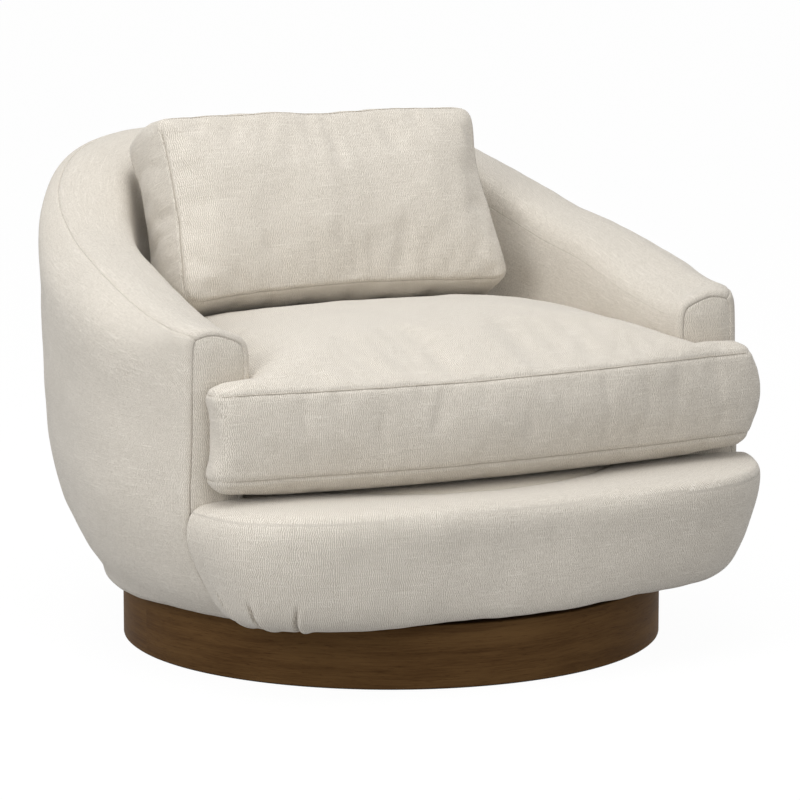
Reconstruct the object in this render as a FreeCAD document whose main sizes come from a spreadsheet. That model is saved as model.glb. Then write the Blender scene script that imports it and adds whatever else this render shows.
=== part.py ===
"""Swivel barrel chair: a round upholstered tub with loose cushions on a turning drum plinth.

All lengths are in millimetres. The origin is on the floor under the swivel axis, +Z is up and
the chair faces -Y. Angles round the tub are measured from the side (+X or -X) towards the back.
"""
import FreeCAD, Part
import math
import os

import Sketcher

V = FreeCAD.Vector
REACH = 700
os.makedirs("parts", exist_ok=True)
doc = FreeCAD.newDocument("barrel_chair")


# Driving dimensions

DIMENSIONS = [
    ("plinth_radius", 375, "outer radius of the wood drum"),
    ("plinth_wall", 20, "thickness of the bent plywood ring"),
    ("plinth_height", 84, "height of the bent plywood ring"),
    ("plinth_round", 2, "eased edge of the ring"),
    ("felt_thickness", 3, "floor felt under the ring"),
    ("felt_inset", 3, "felt kept back from both faces of the ring"),
    ("plinth_deck_thickness", 18, "plywood disc let into the ring"),
    ("plinth_deck_drop", 7, "top of the disc below the top of the ring"),
    ("block_length", 60, "glue block along the ring"),
    ("block_width", 22, "glue block across the ring"),
    ("block_height", 40, "glue block under the disc"),
    ("block_count", 6, "glue blocks round the ring"),
    ("plate_side", 305, "side of the square swivel plates"),
    ("plate_thickness", 3, "steel of the swivel plates"),
    ("plate_corner", 22, "corner radius of the swivel plates"),
    ("plate_bolt_spacing", 254, "bolt holes of the swivel plates"),
    ("swivel_height", 24, "from the under face of the lower plate to the top of the upper plate"),
    ("race_radius", 95, "pitch radius of the ball race"),
    ("race_width", 22, "width of each pressed race ring"),
    ("race_height", 7, "height of each pressed race ring"),
    ("ball_radius", 5, "steel balls"),
    ("ball_count", 10, "balls in the cage"),
    ("ball_play", 0.15, "running play of the balls in race and cage"),
    ("cage_thickness", 2.4, "ball cage"),
    ("pivot_radius", 9, "shank of the centre rivet"),
    ("pivot_play", 0.08, "running play of the centre rivet"),
    ("pivot_head_radius", 15, "head of the centre rivet"),
    ("pivot_head_height", 4, "head of the centre rivet"),
    ("bolt_radius", 4, "machine bolts"),
    ("bolt_hole_play", 0.4, "bolt hole over bolt"),
    ("bolt_head_height", 5.3, "hexagon head"),
    ("bolt_head_width", 13, "hexagon head across flats"),
    ("base_board_radius", 384, "round plywood board that the tub stands on"),
    ("base_board_thickness", 18, "round plywood board"),
    ("rail_thickness", 22, "seat rails"),
    ("rail_height", 114, "seat rails"),
    ("rail_half_width", 290, "outer faces of the side rails from the axis"),
    ("rail_front", 222, "front face of the front rail ahead of the axis"),
    ("rail_back", 236, "back face of the back rail behind the axis"),
    ("block_side", 60, "legs of the triangular corner blocks"),
    ("spring_wire", 4, "sinuous spring wire"),
    ("spring_count", 5, "sinuous springs"),
    ("spring_spacing", 105, "between neighbouring springs"),
    ("spring_swing", 25, "half width of the spring waves"),
    ("spring_bends", 10, "bends of each spring"),
    ("clip_length", 30, "spring clips"),
    ("clip_width", 14, "spring clips"),
    ("clip_height", 4, "spring clips under the wire"),
    ("deck_pad_thickness", 12, "felt and cloth over the springs"),
    ("deck_height", 256, "top of the deck and of the front apron above the floor"),
    ("tub_half_width", 478, "outer wall at the sides"),
    ("tub_back", 513, "outer wall behind the axis"),
    ("tub_front_curve", 470, "half ellipse of the wall ahead of the axis"),
    ("tub_face", 235, "flat front plane of the arms ahead of the axis"),
    ("tub_lip", 399, "radius of the lower edge of the cover"),
    ("front_belly", 14, "extra swell of the lower wall at the arm fronts"),
    ("arm_height", 485, "arm top at the front"),
    ("back_height", 668, "rim at the back"),
    ("rise_start", -15, "degrees: the arm top starts to rise"),
    ("rise_end", 78, "degrees: the rim reaches its full height"),
    ("arm_width", 143, "arm from its inside face to the wall at its fullest"),
    ("arm_top_inset", 62, "outer edge of the arm top in from the wall"),
    ("apron_inset", 33, "swell of the front apron in from the wall"),
    ("ear_inset", 68, "ears of the seat cushion in from the wall"),
    ("inner_half_width", "=tub_half_width - arm_width", "inside faces of the arms from the axis"),
    ("band_half_width", "=tub_half_width - arm_top_inset", "outer edge of the arm top from the axis"),
    ("apron_half_width", "=tub_half_width - apron_inset", "swell of the front apron to the sides"),
    ("seat_ear_half_width", "=tub_half_width - ear_inset", "seat cushion ahead of the arms"),
    ("inner_back_top", 365, "inside of the back at the rim, behind the axis"),
    ("inner_back_low", 262, "inside of the back at the deck, behind the axis"),
    ("band_back", 488, "outer edge of the rim behind the axis"),
    ("roll_depth", 34, "drop of the inner roll of the rim"),
    ("shoulder_depth", 82, "drop of the outer shoulder of the rim"),
    ("crest_rise", 3, "crest of the rim above its two edges"),
    ("band_shelf", 8, "shelf where the rim band meets the outer and inner covers"),
    ("cover_outer", 16, "outer padded cover"),
    ("cover_inner", 24, "inner padded cover"),
    ("cover_band", 26, "padding on the rim"),
    ("face_pad", 12, "padded arm front panels"),
    ("rib_thickness", 20, "plywood ribs of the tub"),
    ("rib_foot", 46, "foot of each rib on the base board"),
    ("housing_depth", 3, "ribs and arm posts let into the hoop"),
    ("hoop_thickness", 18, "bent hoop under the rim"),
    ("hoop_height", 46, "bent hoop under the rim"),
    ("apron_front", 415, "swell of the front apron ahead of the axis"),
    ("apron_round", 44, "rounded top edge of the front apron"),
    ("apron_lap", 55, "apron lapped over the ledge behind its board"),
    ("apron_board_thickness", 20, "bent board behind the apron"),
    ("ledge_thickness", 12, "plywood ledge between apron board and front rail"),
    ("dust_cloth", 1.2, "cloth under the base board"),
    ("dust_cloth_opening", 220, "radius of the opening round the swivel"),
    ("seat_front", 284, "front of the ears ahead of the axis"),
    ("seat_bow", 36, "bow of the seat front"),
    ("seat_rear", 250, "rear of the seat cushion behind the axis"),
    ("seat_rear_corner", 195, "rear corners of the seat cushion"),
    ("seat_ear_corner", 20, "corners of the ears"),
    ("seat_corner_ease", 2, "eased corners of the ears where they meet the arm fronts"),
    ("seat_seam_low", 289, "lower seam above the floor"),
    ("seat_seam_high", 403, "upper seam above the floor"),
    ("seat_crown", 462, "crown of the seat cushion above the floor"),
    ("seat_boxing_swell", 7, "swell of the boxing between the seams"),
    ("cushion_half_width", 240, "back cushion at its upper corners"),
    ("cushion_low_half_width", 246, "back cushion at its lower corners"),
    ("cushion_face_top", 704, "upper front seam above the floor"),
    ("cushion_face_top_back", 212, "upper front seam behind the axis"),
    ("cushion_face_low_back", 100, "lower front seam behind the axis"),
    ("cushion_face_low", 456, "lower front seam above the floor"),
    ("cushion_boxing", 126, "thickness at the seams"),
    ("cushion_front_crown", 22, "swell of the front face"),
    ("cushion_draw", 8, "sides drawn in between the corners"),
    ("cover_fibre", 9, "cushion cover with its fibre wrap"),
    ("soft_gap", 0.3, "between soft pieces that rest on each other"),
    ("side_gap", 3, "between the seat cushion and the arms"),
    ("frame_gap", 2, "between the wood frame and the covers"),
    ("face_step", 1, "top of the apron below the deck, back of the panels to the hoop"),
    ("turn_gap", 3, "between the plinth and the turning cover"),
]

sheet = doc.addObject("Spreadsheet::Sheet", "Dimensions")
for row, (alias, value, note) in enumerate(DIMENSIONS, start=1):
    sheet.set(f"A{row}", alias)
    sheet.set(f"B{row}", str(value))
    sheet.set(f"C{row}", note)
    sheet.setAlias(f"B{row}", alias)
doc.recompute()


def size(alias):
    """A driving dimension as a plain number."""
    return float(getattr(sheet, alias))


def bind(item, prop, formula):
    """Tie a property to the sheet: names in braces stand for cells."""
    item.setExpression(prop, formula.replace("{", "Dimensions.").replace("}", ""))


# Levels and derived places, all from the sheet

plinth_top = size("felt_thickness") + size("plinth_height")
plinth_deck_top = plinth_top - size("plinth_deck_drop")
swivel_top = plinth_deck_top + size("swivel_height")
board_top = swivel_top + size("base_board_thickness")
rail_top = board_top + size("rail_height")
race_level = plinth_deck_top + size("swivel_height") / 2
tub_underside = plinth_top + size("turn_gap")
deck_under = size("deck_height") - size("deck_pad_thickness")
PLINTH_DECK_TOP = "({felt_thickness} + {plinth_height} - {plinth_deck_drop})"
SWIVEL_TOP = "(" + PLINTH_DECK_TOP + " + {swivel_height})"
BOARD_TOP = "(" + SWIVEL_TOP + " + {base_board_thickness})"


# Builders for bodies, boards and groups

def plane_of(body, role):
    """One of the body's own origin planes."""
    return next(f for f in body.Origin.OriginFeatures if f.Role == role)


def new_body(label):
    """A PartDesign body whose label is its node name."""
    body = doc.addObject("PartDesign::Body", "Body_" + label)
    body.Label = label
    return body


def new_sketch(body, name, role="XY_Plane"):
    """A sketch on one of the body's origin planes."""
    sketch = body.newObject("Sketcher::SketchObject", name)
    sketch.AttachmentSupport = (plane_of(body, role), "")
    sketch.MapMode = "FlatFace"
    return sketch


def circle(sketch, radius_formula, x_formula=None, y_formula=None):
    """A circle with its radius, and its centre where given, tied to the sheet."""
    index = sketch.addGeometry(Part.Circle(V(0, 0, 0), V(0, 0, 1), 10), False)
    if x_formula is None:
        sketch.addConstraint(Sketcher.Constraint("Coincident", index, 3, -1, 1))
    else:
        for kind, formula in (("DistanceX", x_formula), ("DistanceY", y_formula)):
            constraint = sketch.addConstraint(Sketcher.Constraint(kind, -1, 1, index, 3, 5.0))
            bind(sketch, f"Constraints[{constraint}]", formula)
    constraint = sketch.addConstraint(Sketcher.Constraint("Radius", index, 10.0))
    bind(sketch, f"Constraints[{constraint}]", radius_formula)
    return index


def pad(body, sketch, length_formula):
    """Pad a sketch upwards."""
    feature = body.newObject("PartDesign::Pad", "Pad_" + sketch.Name)
    feature.Profile = sketch
    bind(feature, "Length", length_formula)
    sketch.Visibility = False
    return feature


def disc_body(label, outer, length, level, inner=None):
    """A disc or ring standing on a level."""
    body = new_body(label)
    sketch = new_sketch(body, "Outline_" + label)
    circle(sketch, outer)
    if inner:
        circle(sketch, inner)
    pad(body, sketch, length)
    bind(body, "Placement.Base.z", level)
    return body


def board(label, lengths, corner):
    """A straight board as a box: three length formulas and three corner formulas."""
    box = doc.addObject("Part::Box", "Board_" + label)
    box.Label = label
    for prop, formula in zip(("Length", "Width", "Height"), lengths):
        bind(box, prop, formula)
    for axis, formula in zip("xyz", corner):
        bind(box, f"Placement.Base.{axis}", formula)
    return box


def feature(label, shape):
    """A sub-part whose shape is worked out here from the sheet."""
    item = doc.addObject("Part::Feature", "Shape_" + label)
    item.Label = label
    item.Shape = shape
    return item


def polygon_face(points):
    """A flat face through a closed row of points."""
    return Part.Face(Part.makePolygon([V(*p) for p in points + [points[0]]]))


def turned(shape, degrees):
    """A copy turned about the swivel axis."""
    copy = shape.copy()
    copy.rotate(V(0, 0, 0), V(0, 0, 1), degrees)
    return copy


# Plinth

def make_plinth():
    """The bent plywood drum with its felt, inner disc and glue blocks."""
    ring = new_body("plinth_ring")
    sketch = new_sketch(ring, "Plinth_Outline")
    circle(sketch, "{plinth_radius}")
    circle(sketch, "{plinth_radius} - {plinth_wall}")
    wall = pad(ring, sketch, "{plinth_height}")
    bind(ring, "Placement.Base.z", "{felt_thickness}")
    doc.recompute()
    outer_edges = []
    for number, edge in enumerate(wall.Shape.Edges, start=1):
        curve = edge.Curve
        if isinstance(curve, Part.Circle) and abs(curve.Radius - size("plinth_radius")) < 0.01:
            outer_edges.append(f"Edge{number}")
    eased = ring.newObject("PartDesign::Fillet", "Eased_Edges")
    eased.Base = (wall, outer_edges)
    bind(eased, "Radius", "{plinth_round}")

    disc_body(
        "floor_felt",
        "{plinth_radius} - {felt_inset}",
        "{felt_thickness}",
        "0",
        "{plinth_radius} - {plinth_wall} + {felt_inset}",
    )

    deck = disc_body(
        "plinth_deck",
        "{plinth_radius} - {plinth_wall}",
        "{plinth_deck_thickness}",
        PLINTH_DECK_TOP + " - {plinth_deck_thickness}",
    )
    add_bolt_holes(deck, "{plinth_deck_thickness}")

    inner = size("plinth_radius") - size("plinth_wall")
    half = size("block_length") / 2
    reach = math.sqrt(inner**2 - half**2)
    block = Part.makeBox(
        size("block_width"),
        size("block_length"),
        size("block_height"),
        V(reach - size("block_width"), -half, plinth_deck_top - size("plinth_deck_thickness")
          - size("block_height")),
    )
    count = int(size("block_count"))
    feature("plinth_glue_blocks", Part.makeCompound([turned(block, 360 * i / count) for i in range(count)]))


def add_bolt_holes(body, depth):
    """Four through holes on the square of the swivel plates, cut up from the under face."""
    sketch = new_sketch(body, "Holes_" + body.Label)
    for x_sign in (-1, 1):
        for y_sign in (-1, 1):
            circle(
                sketch,
                "{bolt_radius} + {bolt_hole_play}",
                f"{x_sign} * {{plate_bolt_spacing}} / 2",
                f"{y_sign} * {{plate_bolt_spacing}} / 2",
            )
    doc.recompute()
    before = body.Shape.Volume
    pocket = body.newObject("PartDesign::Pocket", "Bolt_Holes_" + body.Label)
    pocket.Profile = sketch
    pocket.Reversed = True
    bind(pocket, "Length", depth + " + 1")
    doc.recompute()
    assert body.Shape.Volume < before - 1
    sketch.Visibility = False
    return pocket


# Swivel

def race_ring(level, height):
    """A pressed ring with a groove for the balls; its groove faces the ball centres."""
    inner = size("race_radius") - size("race_width") / 2
    outer = size("race_radius") + size("race_width") / 2
    ring = Part.makeCylinder(outer, height, V(0, 0, level))
    ring = ring.cut(Part.makeCylinder(inner, height, V(0, 0, level)))
    groove_radius = size("ball_radius") + size("ball_play")
    groove = Part.makeTorus(size("race_radius"), groove_radius, V(0, 0, race_level))
    return ring.cut(groove)


def square_plate(level, hole_radius):
    """A flat square plate with round corners, bolt holes and a centre hole."""
    side = size("plate_side")
    thickness = size("plate_thickness")
    plate = Part.makeBox(side, side, thickness, V(-side / 2, -side / 2, level))
    uprights = [e for e in plate.Edges if abs(e.tangentAt(e.FirstParameter).z) > 0.9]
    plate = plate.makeFillet(size("plate_corner"), uprights)
    for x, y in bolt_places():
        hole = Part.makeCylinder(size("bolt_radius") + size("bolt_hole_play"), thickness, V(x, y, level))
        plate = plate.cut(hole)
    if hole_radius:
        plate = plate.cut(Part.makeCylinder(hole_radius, thickness, V(0, 0, level)))
    return plate


def bolt_places():
    """Centres of the four bolts of a swivel plate."""
    half = size("plate_bolt_spacing") / 2
    return [(x * half, y * half) for x in (-1, 1) for y in (-1, 1)]


def hexagon(x, y, level, height):
    """A hexagon head or nut."""
    corner = size("bolt_head_width") / math.sqrt(3)
    points = [
        (x + corner * math.cos(math.radians(60 * i)), y + corner * math.sin(math.radians(60 * i)), level)
        for i in range(6)
    ]
    return polygon_face(points).extrude(V(0, 0, height))


def bolt(x, y, grip_low, grip_high):
    """A bolt through a stack, its head above and its nut below."""
    head = size("bolt_head_height")
    shank = Part.makeCylinder(size("bolt_radius"), grip_high - grip_low + head, V(x, y, grip_low - head))
    cap = hexagon(x, y, grip_high, head)
    nut = hexagon(x, y, grip_low - head, head)
    return shank.fuse(cap).removeSplitter(), nut.cut(shank)


def make_swivel():
    """Two plates with pressed races, caged balls between them, a centre rivet and bolts."""
    race = size("race_height")
    plate = size("plate_thickness")
    lower = square_plate(plinth_deck_top, 0)
    lower = lower.fuse(race_ring(plinth_deck_top + plate, race)).removeSplitter()
    feature("swivel_lower_plate", lower)

    shank_hole = size("pivot_radius") + size("pivot_play")
    upper = square_plate(swivel_top - plate, shank_hole)
    upper = upper.fuse(race_ring(swivel_top - plate - race, race)).removeSplitter()
    feature("swivel_upper_plate", upper)

    head_level = swivel_top + size("soft_gap")
    pin_low = plinth_deck_top + plate
    pin = Part.makeCylinder(size("pivot_radius"), head_level - pin_low, V(0, 0, pin_low))
    head = Part.makeCylinder(size("pivot_head_radius"), size("pivot_head_height"), V(0, 0, head_level))
    rim = [e for e in head.Edges if isinstance(e.Curve, Part.Circle) and e.Vertexes[0].Z > head_level + 1]
    head = head.makeFillet(size("pivot_head_height") / 2, rim)
    feature("swivel_rivet", pin.fuse(head).removeSplitter())

    count = int(size("ball_count"))
    ball = Part.makeSphere(size("ball_radius"), V(size("race_radius"), 0, race_level))
    pocket = Part.makeSphere(size("ball_radius") + size("ball_play"), V(size("race_radius"), 0, race_level))
    thick = size("cage_thickness")
    cage_half = size("race_width") / 2 - size("ball_radius") / 2
    cage = Part.makeCylinder(size("race_radius") + cage_half, thick, V(0, 0, race_level - thick / 2))
    cage = cage.cut(
        Part.makeCylinder(size("race_radius") - cage_half, thick, V(0, 0, race_level - thick / 2))
    )
    balls = [turned(ball, 360 * i / count) for i in range(count)]
    for i in range(count):
        cage = cage.cut(turned(pocket, 360 * i / count))
    feature("ball_cage", cage)
    feature("bearing_balls", Part.makeCompound(balls))

    disc_under = plinth_deck_top - size("plinth_deck_thickness")
    low_bolts = [bolt(x, y, disc_under, plinth_deck_top + plate) for x, y in bolt_places()]
    feature("lower_plate_bolts", Part.makeCompound([b for b, _ in low_bolts]))
    feature("lower_plate_nuts", Part.makeCompound([n for _, n in low_bolts]))
    high_bolts = [bolt(x, y, swivel_top - plate, board_top) for x, y in bolt_places()]
    feature("upper_plate_bolts", Part.makeCompound([b for b, _ in high_bolts]))
    feature("upper_plate_nuts", Part.makeCompound([n for _, n in high_bolts]))


# Form of the tub

def smooth_rise(angle):
    """Share of the rim's rise reached at an angle from the side: 0 at the front, 1 at the back."""
    start, end = size("rise_start"), size("rise_end")
    share = min(max((angle - start) / (end - start), 0.0), 1.0)
    return share * share * (3 - 2 * share)


def rim_height(angle):
    """Height of the rim's crest at an angle from the side."""
    return size("arm_height") + (size("back_height") - size("arm_height")) * smooth_rise(angle)


def oval(angle, across, along, power):
    """Radius at an angle of a rounded plan with the given half width and half depth."""
    cosine = abs(math.cos(math.radians(angle))) / across
    sine = abs(math.sin(math.radians(angle))) / along
    return (cosine**power + sine**power) ** (-1 / power)


def wall_radius(angle):
    """The outer wall at its fullest."""
    depth = size("tub_back") if angle > 0 else size("tub_front_curve")
    return oval(angle, size("tub_half_width"), depth, 2)


def straight_or_oval(angle, across, along, power):
    """A plan with straight sides ahead of the axis and a rounded back behind it."""
    if angle <= 0:
        return across / math.cos(math.radians(angle))
    return oval(angle, across, along, power)


INNER_POWER = 3.6
BAND_POWER = 2.7
APRON_POWER = 4
ROLL_SHARE = 0.42


def inner_radius_top(angle):
    """Inside face just under the rim."""
    return straight_or_oval(angle, size("inner_half_width"), size("inner_back_top"), INNER_POWER)


def inner_radius_low(angle):
    """Inside face at the deck."""
    return straight_or_oval(angle, size("inner_half_width"), size("inner_back_low"), INNER_POWER)


def band_radius(angle):
    """Outer edge of the rim's top, never beyond the wall."""
    edge = straight_or_oval(angle, size("band_half_width"), size("band_back"), BAND_POWER)
    return min(edge, wall_radius(angle) - size("band_shelf"))


def front_share(angle):
    """How much of the fuller front form a section has: 1 at the arm fronts, 0 well behind them."""
    share = min(max((25 - angle) / 55, 0.0), 1.0)
    return share * share * (3 - 2 * share)


BOWL, WAIST, BELLY = 0.145, 0.44, 0.685


def bowl_height(level):
    """Height of a level of the bowl: 0 at the lower edge, 1 at the fullest height of the arms."""
    return tub_underside + level * (size("arm_height") - size("shoulder_depth") - tub_underside)


def bowl_radius(angle, height, inset=0):
    """The outer wall's swelling side between the lower edge and its fullest height."""
    front = front_share(angle)
    swell = wall_radius(angle) - size("tub_lip")
    belly = front * size("front_belly")
    profile = (
        (bowl_height(0), 0),
        (bowl_height(BOWL), swell * (0.39 + 0.32 * front)),
        (bowl_height(WAIST), swell * (0.80 + 0.20 * front) + 0.85 * belly),
        (bowl_height(BELLY), swell * (0.944 + 0.056 * front) + 0.75 * belly),
        (bowl_height(1), swell),
    )
    for (low, reach_low), (high, reach_high) in zip(profile, profile[1:]):
        if height <= high:
            break
    reach = reach_low + (reach_high - reach_low) * (height - low) / (high - low)
    return size("tub_lip") + reach - inset


def tub_points(angle):
    """Named corner points (radius, height) of the tub's section at an angle."""
    crest = rim_height(angle)
    edge = crest - size("crest_rise")
    full = crest - size("shoulder_depth")
    wall = wall_radius(angle)
    band = band_radius(angle)
    roll = inner_radius_top(angle)
    roll_width = (band - roll) * ROLL_SHARE
    drop = size("roll_depth") * (1 + 0.5 * smooth_rise(angle))
    return {
        "lip": (size("tub_lip"), tub_underside),
        "bowl": (bowl_radius(angle, bowl_height(BOWL)), bowl_height(BOWL)),
        "waist": (bowl_radius(angle, bowl_height(WAIST)), bowl_height(WAIST)),
        "belly": (bowl_radius(angle, bowl_height(BELLY)), bowl_height(BELLY)),
        "full": (wall, full),
        "shoulder": (band + (wall - band) * 0.78, full + (edge - full) * 0.70),
        "edge": (band, edge),
        "crest": ((band + roll + roll_width) / 2, crest),
        "roll": (roll + roll_width, edge),
        "turn": (roll + roll_width * 0.27, edge - (drop - size("crest_rise")) * 0.30),
        "inside": (roll, crest - drop),
        "foot": (inner_radius_low(angle), deck_under),
    }


def on_ray(radius, height, angle, left):
    """A point of the section at an angle, on the right or left side of the chair."""
    direction = 180 - angle if left else angle
    return V(radius * math.cos(math.radians(direction)), radius * math.sin(math.radians(direction)), height)


def section_wire(moves, place):
    """A closed wire: each move is (end,) for a line or (middle, end) for an arc."""
    edges = []
    here = place(moves[0][-1])
    start = here
    for move in moves[1:]:
        there = place(move[-1])
        if len(move) == 2:
            edges.append(Part.Arc(here, place(move[0]), there).toShape())
        else:
            edges.append(Part.LineSegment(here, there).toShape())
        here = there
    edges.append(Part.LineSegment(here, start).toShape())
    return Part.Wire(edges)


FIRST_ANGLE = -38
ANGLES = [FIRST_ANGLE, -28, -18, -8, 2, 13, 24, 35, 46, 57, 68, 79]


def tub_loft(moves_at):
    """Loft a section right round the tub, from one arm front over the back to the other."""
    wires = []
    for angle in ANGLES:
        wires.append(section_wire(moves_at(angle), lambda p, a=angle: on_ray(p[0], p[1], a, False)))
    wires.append(section_wire(moves_at(90), lambda p: on_ray(p[0], p[1], 90, False)))
    for angle in reversed(ANGLES):
        wires.append(section_wire(moves_at(angle), lambda p, a=angle: on_ray(p[0], p[1], a, True)))
    return Part.makeLoft(wires, True, False)


def outer_moves(angle):
    """Section of the outer cover: the bowl-shaped wall, one cover thick."""
    p = tub_points(angle)
    t = size("cover_outer")

    def inset(name):
        return (p[name][0] - t, p[name][1])

    return [
        (p["lip"],),
        (p["bowl"], p["waist"]),
        (p["belly"], p["full"]),
        (inset("full"),),
        (inset("belly"), inset("waist")),
        (inset("bowl"), inset("lip")),
    ]


def band_under(points):
    """Height of the band's under face, where the hoop carries it."""
    return min(points["crest"][1] - size("cover_band"), points["inside"][1] + size("band_shelf"))


def band_moves(angle):
    """Section of the padded rim band: shoulder, crown and inner roll."""
    p = tub_points(angle)
    inner = p["inside"][0] + size("cover_inner")
    outer = p["full"][0] - size("cover_outer")
    under = band_under(p)
    return [
        (p["full"],),
        (p["shoulder"], p["edge"]),
        (p["crest"], p["roll"]),
        (p["turn"], p["inside"]),
        ((inner, p["inside"][1]),),
        ((inner, under),),
        ((p["shoulder"][0] - size("cover_outer"), under),),
        ((outer, p["full"][1] + size("band_shelf")),),
        ((outer, p["full"][1]),),
    ]


def inner_moves(angle):
    """Section of the inner cover: the leaning inside face of arms and back."""
    p = tub_points(angle)
    t = size("cover_inner")
    return [
        (p["foot"],),
        (p["inside"],),
        ((p["inside"][0] + t, p["inside"][1]),),
        ((p["foot"][0] + t, p["foot"][1]),),
    ]


def envelope_moves(angle):
    """Section of the whole upholstered wall above the deck, for the arm front panels."""
    p = tub_points(angle)
    return [
        (p["waist"],),
        (p["belly"], p["full"]),
        (p["shoulder"], p["edge"]),
        (p["crest"], p["roll"]),
        (p["turn"], p["inside"]),
        (p["foot"],),
    ]


def behind(level):
    """A block of space behind a plane across the chair."""
    return Part.makeBox(2 * REACH, 2 * REACH, 2 * REACH, V(-REACH, level, -REACH))


def make_tub_covers():
    """Outer cover, rim band, inner cover and the two flat arm front panels."""
    face = -size("tub_face")
    back_space = behind(face + size("face_pad"))
    feature("rim_band", tub_loft(band_moves).common(back_space))
    feature("inner_cover", tub_loft(inner_moves).common(back_space))
    slab = Part.makeBox(2 * REACH, size("face_pad"), REACH, V(-REACH, face, 0))
    outer = tub_loft(outer_moves).common(behind(face))
    for solid in tub_loft(envelope_moves).common(slab).Solids:
        side = "left" if solid.CenterOfMass.x < 0 else "right"
        feature(side + "_arm_front", solid)
        outer = outer.cut(solid)
    feature("outer_cover", outer)


# Wood frame of the tub

def make_seat_frame():
    """The round base board, four seat rails and corner blocks."""
    base = disc_body(
        "base_board", "{base_board_radius}", "{base_board_thickness}", SWIVEL_TOP, "{pivot_head_radius} + 8"
    )
    add_bolt_holes(base, "{base_board_thickness}")
    span = "2 * {rail_half_width}"
    board(
        "front_rail",
        (span, "{rail_thickness}", "{rail_height}"),
        ("-{rail_half_width}", "-{rail_front}", BOARD_TOP),
    )
    board(
        "back_rail",
        (span, "{rail_thickness}", "{rail_height}"),
        ("-{rail_half_width}", "{rail_back} - {rail_thickness}", BOARD_TOP),
    )
    depth = "{rail_front} + {rail_back} - 2 * {rail_thickness}"
    for label, corner in (
        ("left_rail", "-{rail_half_width}"),
        ("right_rail", "{rail_half_width} - {rail_thickness}"),
    ):
        board(
            label,
            ("{rail_thickness}", depth, "{rail_height}"),
            (corner, "-{rail_front} + {rail_thickness}", BOARD_TOP),
        )
    leg = size("block_side")
    inner_x = size("rail_half_width") - size("rail_thickness")
    front_y = -size("rail_front") + size("rail_thickness")
    back_y = size("rail_back") - size("rail_thickness")
    blocks = []
    for x_sign in (-1, 1):
        for y, y_sign in ((front_y, 1), (back_y, -1)):
            corner = (x_sign * inner_x, y, board_top)
            points = [
                corner,
                (corner[0] - x_sign * leg, y, board_top),
                (corner[0], y + y_sign * leg, board_top),
            ]
            blocks.append(polygon_face(points).extrude(V(0, 0, size("rail_height") * 0.6)))
    feature("corner_blocks", Part.makeCompound(blocks))


RIB_ANGLES = (-20, 12, 45, 68)
RIB_SHARES = (0.29, 0.67)
POST_SHARES = (0.22, 0.35, 0.54, 0.75, 1.0)


def make_tub_frame():
    """Plywood ribs standing on the base board and a bent hoop that joins their tops."""
    hoop = size("hoop_thickness")
    height = size("hoop_height")
    clear = size("frame_gap")

    def hoop_box(angle):
        p = tub_points(angle)
        top = band_under(p) - clear
        outer = p["full"][0] - size("cover_outer") - clear
        inner = p["inside"][0] + size("cover_inner") + clear
        middle = (outer + inner) / 2
        return middle - hoop / 2, middle + hoop / 2, top - height, top

    def hoop_moves(angle):
        inner, outer, low, high = hoop_box(angle)
        return [((inner, low),), ((outer, low),), ((outer, high),), ((inner, high),)]

    def beyond(angle, name, extra):
        """Radius that clears a point of the section over the whole thickness of a rib."""
        radius = tub_points(angle)[name][0] + extra
        aside = math.degrees(math.atan2(size("rib_thickness") / 2, radius))
        return max(tub_points(angle + turn)[name][0] for turn in (-aside, 0, aside)) + extra

    board_edge = size("base_board_radius") - clear
    skin = size("cover_outer") + clear
    ribs = []
    for angle in RIB_ANGLES:
        inner, outer, low, _ = hoop_box(angle)
        foot = beyond(angle, "foot", size("cover_inner") + clear)
        points = [(board_edge - size("rib_foot"), board_top), (board_edge, board_top)]
        for share in RIB_SHARES:
            points.append((bowl_radius(angle, bowl_height(share), skin), bowl_height(share)))
        points += [
            (outer, low + size("housing_depth")),
            (inner, low + size("housing_depth")),
            (foot, deck_under - clear),
        ]
        rib = polygon_face([(r, 0, z) for r, z in points]).extrude(V(0, size("rib_thickness"), 0))
        rib.translate(V(0, -size("rib_thickness") / 2, 0))
        ribs.append(turned(rib, angle))
        ribs.append(turned(rib, 180 - angle))
    rails = Part.makeBox(
        2 * size("rail_half_width"),
        size("rail_front") + size("rail_back"),
        size("rail_height"),
        V(-size("rail_half_width"), -size("rail_front"), board_top),
    )
    ribs = Part.makeCompound(ribs).cut(rails)
    feature("tub_ribs", ribs)

    post_front = -size("tub_face") + size("face_pad")
    post_angle = -math.degrees(math.asin(-post_front / size("tub_half_width")))

    def wall_x(level):
        """Outer edge of an arm post at a level, clear of the outer cover at its front face."""
        radius = bowl_radius(post_angle, level) - skin
        return math.sqrt(radius**2 - post_front**2)

    head = hoop_box(post_angle)[2] + size("housing_depth")
    shoulder = deck_under - size("ledge_thickness") - clear
    inner_x = size("inner_half_width") + size("cover_inner") + clear
    foot_x = size("rail_half_width")
    board_x = math.sqrt(board_edge**2 - post_front**2)
    outline = [(foot_x, board_top), (board_x, board_top)]
    for share in POST_SHARES:
        outline.append((wall_x(bowl_height(share)), bowl_height(share)))
    outline += [(outline[-1][0], head), (inner_x, head), (inner_x, shoulder), (foot_x, shoulder)]
    post = polygon_face([(x, post_front, z) for x, z in outline])
    post = post.extrude(V(0, size("rib_thickness"), 0))
    other = post.mirror(V(0, 0, 0), V(1, 0, 0))
    feature("right_arm_post", post)
    feature("left_arm_post", other)

    hoop_solid = tub_loft(hoop_moves).common(behind(post_front + size("face_step")))
    feature("rim_hoop", hoop_solid.cut(Part.makeCompound([ribs, post, other])))


# Springs

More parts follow.
